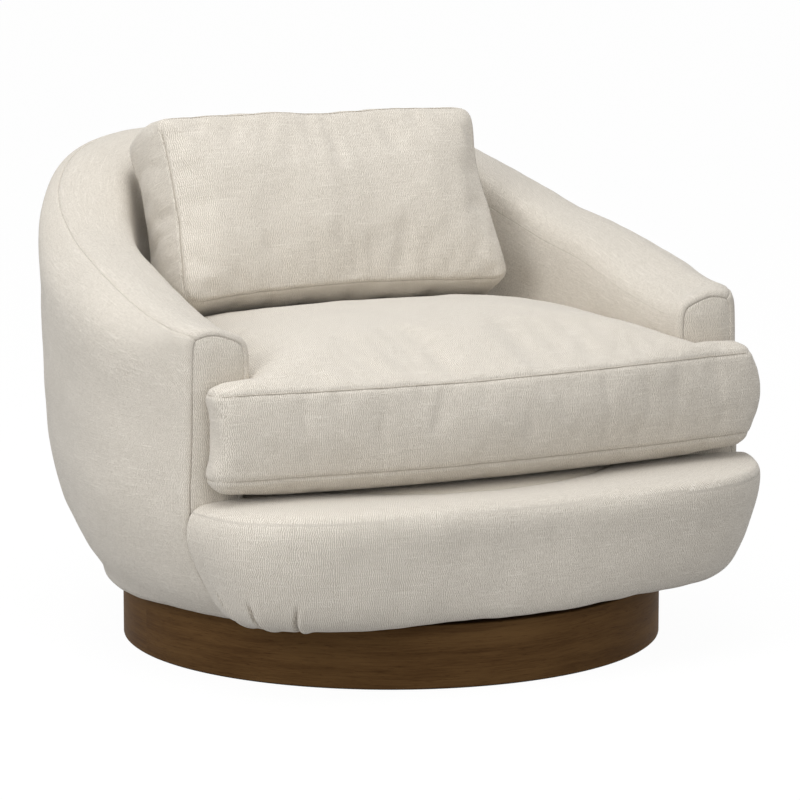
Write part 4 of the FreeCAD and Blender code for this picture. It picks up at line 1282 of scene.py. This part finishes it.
@dataclass
class CushionForm:
    """A boxed cushion in its own frame: plan X and Y, thickness along Z between two seams."""

    outline: Array
    centre: tuple
    seam_low: float
    seam_high: float
    top: Callable[[Array, Array], Array]
    bottom: Callable[[Array, Array], Array]
    boxing: Callable[[Array, Array], Array]

    def ball(self, segments: int = 320, rings: int = 110) -> bpy.types.Object:
        """The cushion's first shape, from a ball whose rings follow the outline."""
        deselect()
        bpy.ops.mesh.primitive_uv_sphere_add(segments=segments, ring_count=rings, radius=1)
        item = bpy.context.active_object
        unit = coordinates(item)
        centre = np.array(self.centre)
        around = np.arctan2(unit[:, 1], unit[:, 0])
        polar = np.arccos(np.clip(unit[:, 2], -1, 1)) / math.pi
        rim_angle = np.arctan2(*(self.outline - centre).T[::-1])
        order = np.argsort(rim_angle)
        angles = rim_angle[order]
        rim = self.outline[order]
        angles = np.concatenate([[angles[-1] - 2 * math.pi], angles, [angles[0] + 2 * math.pi]])
        rim = np.concatenate([rim[-1:], rim, rim[:1]])
        edge = np.stack([np.interp(around, angles, rim[:, k]) for k in range(2)], axis=1)
        inner = np.where(polar < 0.5, polar / 0.4, (1 - polar) / 0.4)
        share = np.clip(inner, 0, 1) ** 0.8
        level = np.clip((polar - 0.4) / 0.2, 0, 1)
        plan = centre + (edge - centre) * share[:, None]
        height = self.seam_high + (self.seam_low - self.seam_high) * level
        away = outline_distance(plan, self.outline)
        height = np.where(polar < 0.4, self.seam_high + self.top(plan, away), height)
        height = np.where(polar > 0.6, self.seam_low - self.bottom(plan, away), height)
        side = (polar >= 0.4) & (polar <= 0.6)
        out = (edge - centre) / np.linalg.norm(edge - centre, axis=1, keepdims=True)
        plan = plan + out * (self.boxing(edge, level) * side)[:, None]
        place_vertices(item, np.column_stack([plan, height]))
        merge_close(item)
        return item


class Stuffing:
    """Turns a first shape into a stuffed one with a cloth simulation."""

    SETTINGS = {
        "use_pressure": True,
        "vertex_group_mass": "seams",
        "tension_stiffness": 18,
        "compression_stiffness": 12,
        "bending_stiffness": 1.2,
        "shrink_min": -0.012,
    }
    HOLDS = (1.0, 0.6, 0.3)
    HOLD_SPAN = 0.15

    @staticmethod
    def remesh(item: bpy.types.Object, voxel: float) -> None:
        """Give the piece even faces."""
        apply_modifier(item, "REMESH", mode="VOXEL", voxel_size=voxel, adaptivity=0.0)

    @classmethod
    def inflate(cls, item: bpy.types.Object, pinned: Array, cap: float, pressure: float,
                frames: int = 20) -> None:
        """Swell the piece between its seams.

        Args:
            item: the piece.
            pinned: how firmly each vertex is held, 0 to 1.
            cap: the furthest that a point may move.
            pressure: of the stuffing.
            frames: how long it settles.
        """
        before = coordinates(item)
        only(item)
        group = item.vertex_groups.new(name="seams")
        for value in cls.HOLDS:
            chosen = np.nonzero((pinned >= value - cls.HOLD_SPAN) & (pinned < value + cls.HOLD_SPAN))[0]
            if len(chosen):
                group.add([int(i) for i in chosen], value, "REPLACE")
        modifier = item.modifiers.new("Cloth", "CLOTH")
        settings = modifier.settings
        for name, value in cls.SETTINGS.items():
            setattr(settings, name, value)
        settings.uniform_pressure_force = pressure
        settings.effector_weights.gravity = 0
        modifier.collision_settings.use_collision = False
        scene = bpy.context.scene
        for number in range(1, frames + 1):
            scene.frame_set(number)
        graph = bpy.context.evaluated_depsgraph_get()
        settled = item.evaluated_get(graph).to_mesh()
        after = np.empty(len(settled.vertices) * 3)
        settled.vertices.foreach_get("co", after)
        item.evaluated_get(graph).to_mesh_clear()
        item.modifiers.remove(modifier)
        scene.frame_set(1)
        move = after.reshape(-1, 3) - before
        far = np.linalg.norm(move, axis=1, keepdims=True)
        move *= np.minimum(1, cap / np.maximum(far, 1e-9))
        place_vertices(item, before + move)
        item.vertex_groups.clear()
        apply_modifier(item, "SMOOTH", factor=0.5, iterations=7)

    @staticmethod
    def refine(item: bpy.types.Object) -> None:
        """Add one subdivision."""
        apply_modifier(item, "SUBSURF", levels=1, render_levels=1, subdivision_type="CATMULL_CLARK")
        shade(item)


def draw_in(item: bpy.types.Object, path: Array, depth: float, width: float) -> Array:
    """Pull a cushion's cloth in along a seam.

    Args:
        item: the cushion.
        path: the seam's designed points, N by 3.
        depth: of the groove.
        width: of the groove.

    Returns:
        The seam's points on the cushion's surface.
    """
    item.data.update()
    tree = BVHTree.FromPolygons([v.co for v in item.data.vertices], [p.vertices for p in item.data.polygons])
    line = []
    facing = []
    for point in path:
        place, normal, _, _ = tree.find_nearest(Vector(point))
        line.append(place)
        facing.append(normal)
    line, facing = np.array(line), np.array(facing)
    for _ in range(3):
        line = (np.roll(line, 1, 0) + 2 * line + np.roll(line, -1, 0)) / 4
    places, out = coordinates(item), normals(item)
    low, high = line.min(0) - 4 * width, line.max(0) + 4 * width
    near = np.nonzero(((places > low) & (places < high)).all(1))[0]
    away = outline_distance(places[near], line)
    places[near] -= out[near] * (depth * groove(away, width))[:, None]
    place_vertices(item, places)
    return line - facing * depth * 0.55


@dataclass
class SeatCushion:
    """The loose T-shaped seat cushion."""

    half_width: float = 0.3325
    ear_half: float = 0.4095
    front: float = 0.284
    bow: float = 0.036
    face: float = 0.2362
    rear: float = 0.250
    seam_low: float = 0.289
    seam_high: float = 0.403
    crown: float = 0.4615
    floor: float = 0.2568
    shift: float = 0.0095
    voxel: float = 0.0062
    held: float = 0.006
    waves: tuple = ((0.0016, 0.17, 21), (0.0006, 0.055, 22))
    seam_depth: float = 0.0020
    seam_width: float = 0.0034

    def plan(self) -> Array:
        """The cushion's outline."""
        bow = [(x, -self.front - self.bow * (1 - (x / 0.385) ** 2)) for x in np.linspace(-0.34, 0.34, 15)]
        right, left = self.ear_half + self.shift, -self.ear_half + self.shift
        half, face = self.half_width, -self.face
        corners = [(left, -self.front), *bow, (right, -self.front), (right, face), (half, face),
                   (half, self.rear), (-half, self.rear), (-half, face), (left, face)]
        radii = [0.020] + [0.004] * 15 + [0.020, 0.012, 0.006, 0.20, 0.20, 0.006, 0.012]
        return round_corners(corners, radii)

    def top(self, plan: Array, away: Array) -> Array:
        """Rise of the top panel above its seam."""
        quick = 0.011 - 0.005 * smooth(0.33, 0.40, abs(plan[:, 0]))
        main = (self.crown - self.seam_high - quick) * dome(away, 0.27, 2.1)
        rear = 1 - 0.36 * smooth(-0.10, 0.20, plan[:, 1])
        return quick * puff(away, 0.011) + main * rear

    def bottom(self, plan: Array, away: Array) -> Array:
        """Swell of the underside below its seam."""
        return (self.seam_low - self.floor) * puff(away, 0.020)

    def boxing(self, edge: Array, level: Array) -> Array:
        """Swell of the boxing: full along the front, drawn in at the ears' ends."""
        bulge = np.sin(math.pi * level)
        across = edge[:, 0] - self.shift
        front = smooth(-0.262, -0.290, edge[:, 1]) * smooth(-0.405, -0.36, across)
        left, right = smooth(-0.345, -0.405, across), smooth(0.345, 0.405, across)
        return bulge * (0.009 * front * (1 - right) - 0.0055 * left + 0.018 * right)

    def seams(self) -> tuple:
        """Designed paths of the two seams."""
        plan = self.plan()
        return tuple(np.column_stack([plan, np.full(len(plan), z)]) for z in (self.seam_high, self.seam_low))

    def lay_cloth(self, item: bpy.types.Object) -> None:
        """Cloth coordinates: level on every panel."""
        places, facing = coordinates(item), face_normals(item)
        upright = abs(facing[:, 2]) < 0.62
        sideways = upright & (abs(facing[:, 0]) > abs(facing[:, 1]))

        def spread(vertex: Array, face: Array) -> Array:
            """Cloth coordinates of the corners, from their vertex and face numbers."""
            p = places[vertex]
            u = np.where(sideways[face], p[:, 1], p[:, 0])
            v = np.where(upright[face], p[:, 2] + 0.7, p[:, 1])
            return np.stack([u, v], axis=1)

        cloth_map(item, spread)

    def build(self) -> None:
        """Make, stuff, sew and seat the cushion."""
        plan = self.plan()
        form = CushionForm(plan, (0.0, -0.25), self.seam_low, self.seam_high,
                           self.top, self.bottom, self.boxing)
        item = finish_place(form.ball(), "seat_pillow")
        Stuffing.remesh(item, self.voxel)
        places = coordinates(item)
        away = outline_distance(places[:, :2], plan)
        at_seam = np.minimum(abs(places[:, 2] - self.seam_high), abs(places[:, 2] - self.seam_low))
        pinned = groove(np.hypot(away, at_seam), self.held)
        pinned = np.where(places[:, 2] < self.floor + 0.004, 1.0, pinned)
        Stuffing.inflate(item, pinned, 0.007, 2.4)
        places, out = coordinates(item), normals(item)
        soft = unevenness(places, self.waves)
        soft *= smooth(self.floor, self.floor + 0.03, places[:, 2])
        place_vertices(item, places + out * soft[:, None])
        Stuffing.refine(item)
        lines = [draw_in(item, path[::3], self.seam_depth, self.seam_width) for path in self.seams()]
        self.lay_cloth(item)
        shade(item)
        seat_piece(item, Body.SEAT, OATMEAL, ("seat_cushion_cover", "seat_foam_core"))
        # The seam tubes are painted shade: dark lines in the seams' grooves, in a cloth darker than the
        # cushion's.
        for name, line in zip(("seat_upper_seam_shade", "seat_lower_seam_shade"), lines):
            seat_piece(seam_shade_line(name, line, SEAM_SHADE_RADIUS), Body.SEAT, SEAM)


@dataclass
class BackCushion:
    """The loose back cushion, leaning on the inside of the back."""

    top_half: float = 0.2375
    low_half: float = 0.248
    left_more: float = 0.019
    face_low: tuple = (0.100, 0.456)
    face_top: tuple = (0.212, 0.704)
    thickness: float = 0.114
    crown: float = 0.024
    rear_crown: float = 0.050
    voxel: float = 0.005
    reach: float = 0.125
    waist: float = 0.009
    foot: float = 0.007
    left_taller: float = 0.008
    corner_radii: tuple = (0.030, 0.020, 0.017, 0.026)
    side_radius: float = 0.006
    front_puff: float = 0.009
    rear_puff: float = 0.010
    held: float = 0.006
    waves: tuple = ((0.0020, 0.13, 41), (0.0007, 0.05, 42))
    seam_depth: float = 0.0017
    seam_width: float = 0.0034

    def lean(self) -> float:
        """Lean from upright, in radians."""
        return math.atan2(self.face_top[0] - self.face_low[0], self.face_top[1] - self.face_low[1])

    def length(self) -> float:
        """Height of the front panel along its lean."""
        return math.hypot(self.face_top[0] - self.face_low[0], self.face_top[1] - self.face_low[1])

    def to_room(self, places: Array) -> Array:
        """From the cushion's frame, X across, Y up the face, Z out of it, to the shared frame."""
        lean = self.lean()
        up = np.array([0, math.sin(lean), math.cos(lean)])
        out = np.array([0, -math.cos(lean), math.sin(lean)])
        start = np.array([0, self.face_low[0], self.face_low[1]])
        return start + places[:, :1] * [1, 0, 0] + places[:, 1:2] * up + places[:, 2:3] * out

    def plan(self) -> Array:
        """Outline of the front panel: sides drawn in between the corners."""
        tall, foot = self.length(), self.foot
        low, high = self.low_half, self.top_half
        steps = np.linspace(0, 1, 9)
        side = [(1 - t) * low + t * high - self.waist * math.sin(math.pi * t) for t in steps]
        right = [(s, foot + t * (tall - foot)) for s, t in zip(side, steps)]
        top = [
            (high * (1 - 2 * t), tall + 0.007 * t + 0.001 * math.sin(math.pi * t) + 0.0014 * math.sin(9 * t))
            for t in steps[1:-1]
        ]
        left_tall = tall + self.left_taller - foot
        left = [(-s - self.left_more, foot + t * left_tall) for s, t in zip(side[::-1], steps[::-1])]
        low_edge = [(low * (2 * t - 1), foot + 0.003 + 0.010 * math.sin(math.pi * t)) for t in steps[1:-1]]
        corners = right + top + left + low_edge
        radii = [radius for corner in self.corner_radii for radius in (corner, *[self.side_radius] * 7)]
        return round_corners(corners, radii)

    def front_panel(self, plan: Array, away: Array) -> Array:
        """Rise of the front panel above its seam."""
        quick = self.front_puff
        return quick * puff(away, quick) + (self.crown - quick) * dome(away, self.reach)

    def rear_panel(self, plan: Array, away: Array) -> Array:
        """Swell of the rear panel towards the back of the chair."""
        quick = self.rear_puff
        return quick * puff(away, quick) + (self.rear_crown - quick) * dome(away, self.reach)

    def boxing(self, edge: Array, level: Array) -> Array:
        """Swell of the boxing between the two seams."""
        upper = smooth(self.length() * 0.8, self.length(), edge[:, 1])
        return np.sin(math.pi * level) * (0.006 + 0.003 * upper)

    def build(self) -> None:
        """Make, stuff, sew and seat the cushion."""
        plan = self.plan()
        form = CushionForm(plan, (0.0, self.length() / 2), -self.thickness, 0.0,
                           self.front_panel, self.rear_panel, self.boxing)
        item = finish_place(form.ball(), "back_pillow")
        Stuffing.remesh(item, self.voxel)
        places = coordinates(item)
        away = outline_distance(places[:, :2], plan)
        at_seam = np.minimum(abs(places[:, 2]), abs(places[:, 2] + self.thickness))
        pinned = groove(np.hypot(away, at_seam), self.held)
        Stuffing.inflate(item, pinned, 0.006, 2.2)
        places, out = coordinates(item), normals(item)
        place_vertices(item, places + out * unevenness(places, self.waves)[:, None])
        Stuffing.refine(item)
        lines = []
        for z in (0.0, -self.thickness):
            path = np.column_stack([plan, np.full(len(plan), z)])
            lines.append(draw_in(item, path[::3], self.seam_depth, self.seam_width))
        local, facing = coordinates(item), face_normals(item)
        edgewise = abs(facing[:, 2]) < 0.60
        sideways = edgewise & (abs(facing[:, 0]) > abs(facing[:, 1]))

        def spread(vertex: Array, face: Array) -> Array:
            """Cloth coordinates of the corners, from their vertex and face numbers."""
            p = local[vertex]
            u = np.where(sideways[face], p[:, 2], p[:, 0])
            v = np.where(edgewise[face] & ~sideways[face], p[:, 2] + 0.4, p[:, 1])
            return np.stack([u, v], axis=1)

        cloth_map(item, spread)
        place_vertices(item, self.settle(self.to_room(local)))
        shade(item)
        seat_piece(item, Body.BACK, OATMEAL, ("back_cushion_cover", "back_foam_core"))
        # The seam tubes are painted shade: dark lines in the seams' grooves, in a cloth darker than the
        # cushion's.
        for name, line in zip(("back_front_seam_shade", "back_rear_seam_shade"), lines):
            thread = seam_shade_line(name, self.settle(self.to_room(line)), SEAM_SHADE_RADIUS)
            seat_piece(thread, Body.BACK, SEAM)

    def settle(self, places: Array) -> Array:
        """Press the cushion's underside onto the crown of the seat cushion."""
        seat = SeatCushion()
        plan = seat.plan()
        low = places[:, 2] < 0.48
        away = outline_distance(places[low][:, :2], plan)
        crown = seat.seam_high + seat.top(places[low][:, :2], away) + 0.0015
        out = places.copy()
        out[low, 2] = np.maximum(places[low][:, 2], crown)
        return out


# Deck and underside


@dataclass
class Deck:
    """The padded lining over the springs."""

    half_width: float = 0.3335
    rear: float = 0.2555
    front: float = 0.326
    low: float = 0.2445
    high: float = 0.2560
    face: float = -0.232
    arc_half: float = 0.215
    ridge: float = 0.0008
    ridge_width: float = 0.004
    ridge_from_middle: float = 0.20

    def build(self) -> None:
        """Make and seat the deck."""
        across = np.linspace(-self.arc_half, self.arc_half, 15)
        arc = [(x, -math.sqrt(self.front**2 - x**2)) for x in across]
        half = self.half_width
        corners = [(-half, self.face), *arc, (half, self.face), (half, self.rear), (-half, self.rear)]
        radii = [0.006] + [0.004] * 15 + [0.006, 0.19, 0.19]
        plan = round_corners(corners, radii)
        thick = self.high - self.low
        form = CushionForm(
            plan, (0.0, 0.0), self.low + 0.2 * thick, self.low + 0.55 * thick,
            lambda p, away: 0.45 * thick * puff(away, 0.010),
            lambda p, away: 0.2 * thick * puff(away, 0.006),
            lambda edge, level: np.zeros(len(level)),
        )
        item = finish_place(form.ball(240, 60), "deck_lining")
        places = coordinates(item)
        ridges = self.ridge * groove(abs(places[:, 0]) - self.ridge_from_middle, self.ridge_width)
        places[:, 2] -= ridges * (places[:, 2] > self.low + 0.6 * thick)
        place_vertices(item, places)
        cloth_map(item, lambda vertex, face: places[vertex][:, :2])
        shade(item)
        seat_piece(item, Body.TUB, DECK_CLOTH, ("deck_pad",))


@dataclass
class DustCloth:
    """The lining cloth under the base board, with its staples."""

    outer: float = 0.382
    inner: float = 0.220
    level: float = 0.1035
    sag: float = 0.0012
    thickness: float = 0.0006
    staples: int = 36
    staple_inset: float = 0.010
    staple_size: tuple = (0.0012, 0.010, 0.0009)

    def build(self) -> None:
        """Make and seat the cloth and its staples."""
        turns = np.linspace(0, 2 * math.pi, 181)
        radii = np.linspace(self.inner, self.outer, 14)
        share = (radii - self.inner) / (self.outer - self.inner)
        level = self.level - self.sag * np.sin(math.pi * share)
        places = np.stack([
            radii[:, None] * np.cos(turns), radii[:, None] * np.sin(turns),
            np.broadcast_to(level[:, None], (len(radii), len(turns))),
        ], axis=-1)
        item = grid_piece("underside_lining", places, places[..., :2])
        merge_close(item)
        shell(item, self.thickness)
        seat_piece(item, Body.TUB, LINING, ("dust_cloth",))
        first = self.staple()
        made = [first]
        for i in range(1, self.staples):
            copy = first.copy()
            copy.data = first.data.copy()
            bpy.context.scene.collection.objects.link(copy)
            copy.rotation_euler[2] = 2 * math.pi * i / self.staples
            made.append(copy)
        deselect()
        for piece in made:
            piece.select_set(True)
        bpy.context.view_layer.objects.active = first
        bpy.ops.object.transform_apply(location=True, rotation=True, scale=True)
        bpy.ops.object.join()
        first.name = "lining_staples"
        seat_piece(first, Body.TUB, ZINC)

    def staple(self) -> bpy.types.Object:
        """One staple near the cloth's outer edge."""
        deselect()
        place = (self.outer - self.staple_inset, 0, self.level - 0.0008)
        bpy.ops.mesh.primitive_cube_add(size=1, location=place)
        item = bpy.context.active_object
        item.scale = self.staple_size
        finish_place(item, "staple")
        apply_modifier(item, "BEVEL", width=0.0003, segments=2)
        return item


# Plinth and hardware


@dataclass
class Plinth:
    """The bent plywood drum."""

    radius: float = 0.375
    wall: float = 0.020
    low: float = 0.0012
    high: float = 0.087
    round: float = 0.002

    def build(self) -> None:
        """Make and seat the drum."""
        deselect()
        bpy.ops.mesh.primitive_circle_add(vertices=256, radius=self.radius, location=(0, 0, self.low))
        item = finish_place(bpy.context.active_object, "plinth_drum")
        bpy.ops.object.mode_set(mode="EDIT")
        bpy.ops.mesh.select_all(action="SELECT")
        bpy.ops.mesh.extrude_region_move(TRANSFORM_OT_translate={"value": (0, 0, self.high - self.low)})
        bpy.ops.mesh.select_all(action="SELECT")
        bpy.ops.mesh.normals_make_consistent(inside=False)
        bpy.ops.object.mode_set(mode="OBJECT")
        apply_modifier(item, "SOLIDIFY", thickness=self.wall, offset=-1.0, use_even_offset=True)
        apply_modifier(item, "BEVEL", width=self.round, segments=3, limit_method="ANGLE", angle_limit=0.9)
        places = coordinates(item)

        def spread(vertex: Array, face: Array) -> Array:
            """Cloth coordinates of the corners, from their vertex and face numbers."""
            p = places[vertex]
            turn = np.arctan2(p[:, 1], p[:, 0])
            seam = np.zeros(len(item.data.polygons))
            np.maximum.at(seam, face, (turn < -2).astype(float))
            turn = np.where((seam[face] > 0) & (turn > 2), turn - 2 * math.pi, turn)
            return np.stack([turn * self.radius, p[:, 2] + np.hypot(p[:, 0], p[:, 1])], axis=1)

        cloth_map(item, spread)
        only(item)
        bpy.ops.object.shade_smooth_by_angle(angle=math.radians(40))
        seat_piece(item, Body.BASE, DRUM_WOOD, ("plinth_ring",))


@dataclass
class Hardware:
    """The construction inside, which keeps its own solids."""

    finishes: dict = field(default_factory=lambda: {
        "floor_felt": FELT, "plinth_deck": BOARD_WOOD, "plinth_glue_blocks": CROSS_WOOD,
        "swivel_lower_plate": BLACK_STEEL, "swivel_upper_plate": BLACK_STEEL, "swivel_rivet": ZINC,
        "ball_cage": ZINC, "bearing_balls": BEARING, "lower_plate_bolts": ZINC, "lower_plate_nuts": ZINC,
        "upper_plate_bolts": ZINC, "upper_plate_nuts": ZINC, "base_board": BOARD_WOOD,
        "front_rail": CROSS_WOOD, "back_rail": CROSS_WOOD, "left_rail": CROSS_WOOD, "right_rail": CROSS_WOOD,
        "corner_blocks": CROSS_WOOD, "apron_board": BOARD_WOOD, "front_ledge": BOARD_WOOD,
        "left_arm_post": BOARD_WOOD, "right_arm_post": BOARD_WOOD, "tub_ribs": BOARD_WOOD,
        "rim_hoop": BOARD_WOOD, "sinuous_springs": SPRING_WIRE, "spring_clips": ZINC,
    })

    def build(self) -> None:
        """Dress the solids that carry over."""
        for node, finish in self.finishes.items():
            WARDROBE.dress(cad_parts[node], finish)
            LOG.info("%s: %s", node, finish.name)


# Room


WHITE = (1, 1, 1, 1)


@dataclass
class Studio:
    """A pale floor, soft lamps and the camera."""

    camera_place: tuple = (-2.7239, -5.3460, 1.3628)
    camera_aim: tuple = (0.01096, -0.00558, 0.32433)
    lens: float = 196.77
    sensor: float = 36.0
    floor_radius: float = 14.0
    floor_grey: float = 0.46
    floor_glow: float = 1.07
    floor_white: float = 0.90
    sky: float = 0.50
    sky_tint: tuple = (1.0, 0.995, 0.985, 1)
    lamps: tuple = (
        ("overhead", (-0.6, -0.6, 3.4), (0, 0, 0.3), 2.6, 62),
        ("left", (-3.0, -1.4, 1.9), (0, 0, 0.35), 1.8, 42),
        ("front", (0.6, -4.0, 1.6), (0, 0, 0.3), 2.2, 15),
    )

    def lamp(self, name: str, place: tuple, aim: tuple, width: float, power: float) -> None:
        """A soft square lamp."""
        data = bpy.data.lights.new(name, "AREA")
        data.shape = "SQUARE"
        data.size = width
        data.energy = power
        item = bpy.data.objects.new(name, data)
        bpy.context.scene.collection.objects.link(item)
        item.location = place
        item.rotation_euler = (Vector(aim) - Vector(place)).to_track_quat("-Z", "Y").to_euler()

    def seen_white(self, bench: Bench, plain: bpy.types.Node, white: bpy.types.Node,
                   share: float) -> bpy.types.NodeSocket:
        """Mix in plain white for what the camera, gloss and glass see."""
        rays = bench.add("LightPath")
        seen = bench.math("MAXIMUM", rays.outputs["Is Camera Ray"], rays.outputs["Is Glossy Ray"])
        seen = bench.math("MAXIMUM", seen, rays.outputs["Is Transmission Ray"])
        mix = bench.add("MixShader")
        bench.feed(mix.inputs[0], bench.math("MULTIPLY", seen, share))
        bench.feed(mix.inputs[1], plain.outputs[0])
        bench.feed(mix.inputs[2], white.outputs[0])
        return mix.outputs[0]

    def floor(self) -> None:
        """A pale floor that looks nearly white."""
        deselect()
        bpy.ops.mesh.primitive_circle_add(vertices=128, radius=self.floor_radius, fill_type="NGON",
                                          location=(0, 0, 0))
        floor = finish_place(bpy.context.active_object, "floor")
        material = bpy.data.materials.new("Pale floor")
        material.use_nodes = True
        bench = Bench(material.node_tree)
        shader = material.node_tree.nodes["Principled BSDF"]
        shader.inputs["Base Color"].default_value = (self.floor_grey,) * 3 + (1,)
        shader.inputs["Roughness"].default_value = 0.9
        shader.inputs["Specular IOR Level"].default_value = 0.1
        glow = bench.add("Emission", Color=WHITE, Strength=self.floor_glow)
        output = material.node_tree.nodes["Material Output"]
        bench.feed(output.inputs["Surface"], self.seen_white(bench, shader, glow, self.floor_white))
        floor.data.materials.append(material)

    def world(self) -> None:
        """An even light from all sides, seen as plain white."""
        world = bpy.data.worlds.new("Studio")
        bpy.context.scene.world = world
        world.use_nodes = True
        bench = Bench(world.node_tree)
        soft = world.node_tree.nodes["Background"]
        soft.inputs["Color"].default_value = self.sky_tint
        soft.inputs["Strength"].default_value = self.sky
        white = bench.add("Background", Color=WHITE, Strength=1.0)
        output = world.node_tree.nodes["World Output"]
        bench.feed(output.inputs["Surface"], self.seen_white(bench, soft, white, 1.0))

    def camera(self) -> None:
        """The photo's camera."""
        data = bpy.data.cameras.new("camera")
        data.sensor_width = self.sensor
        data.lens = self.lens
        data.clip_end = 60
        camera = bpy.data.objects.new("camera", data)
        bpy.context.scene.collection.objects.link(camera)
        camera.location = self.camera_place
        aim = Vector(self.camera_aim) - Vector(self.camera_place)
        camera.rotation_euler = aim.to_track_quat("-Z", "Y").to_euler()
        bpy.context.scene.camera = camera

    def build(self) -> None:
        """Set the floor, world, lamps and camera."""
        self.floor()
        self.world()
        for name, place, aim, width, power in self.lamps:
            self.lamp(name, place, aim, width, power)
        self.camera()
        bpy.context.scene.view_settings.view_transform = "Standard"


def write_size() -> None:
    """Update the view layer."""
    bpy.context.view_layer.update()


def main() -> None:
    """Build the chair's looks in order."""
    logging.basicConfig(level=logging.INFO, format="%(name)s: %(message)s")
    form = TubForm()
    form.prepare()
    Hardware().build()
    Plinth().build()
    Tub(form).build()
    Apron().build()
    Deck().build()
    DustCloth().build()
    SeatCushion().build()
    BackCushion().build()
    Studio().build()
    write_size()


if __name__ == "__main__":
    main()
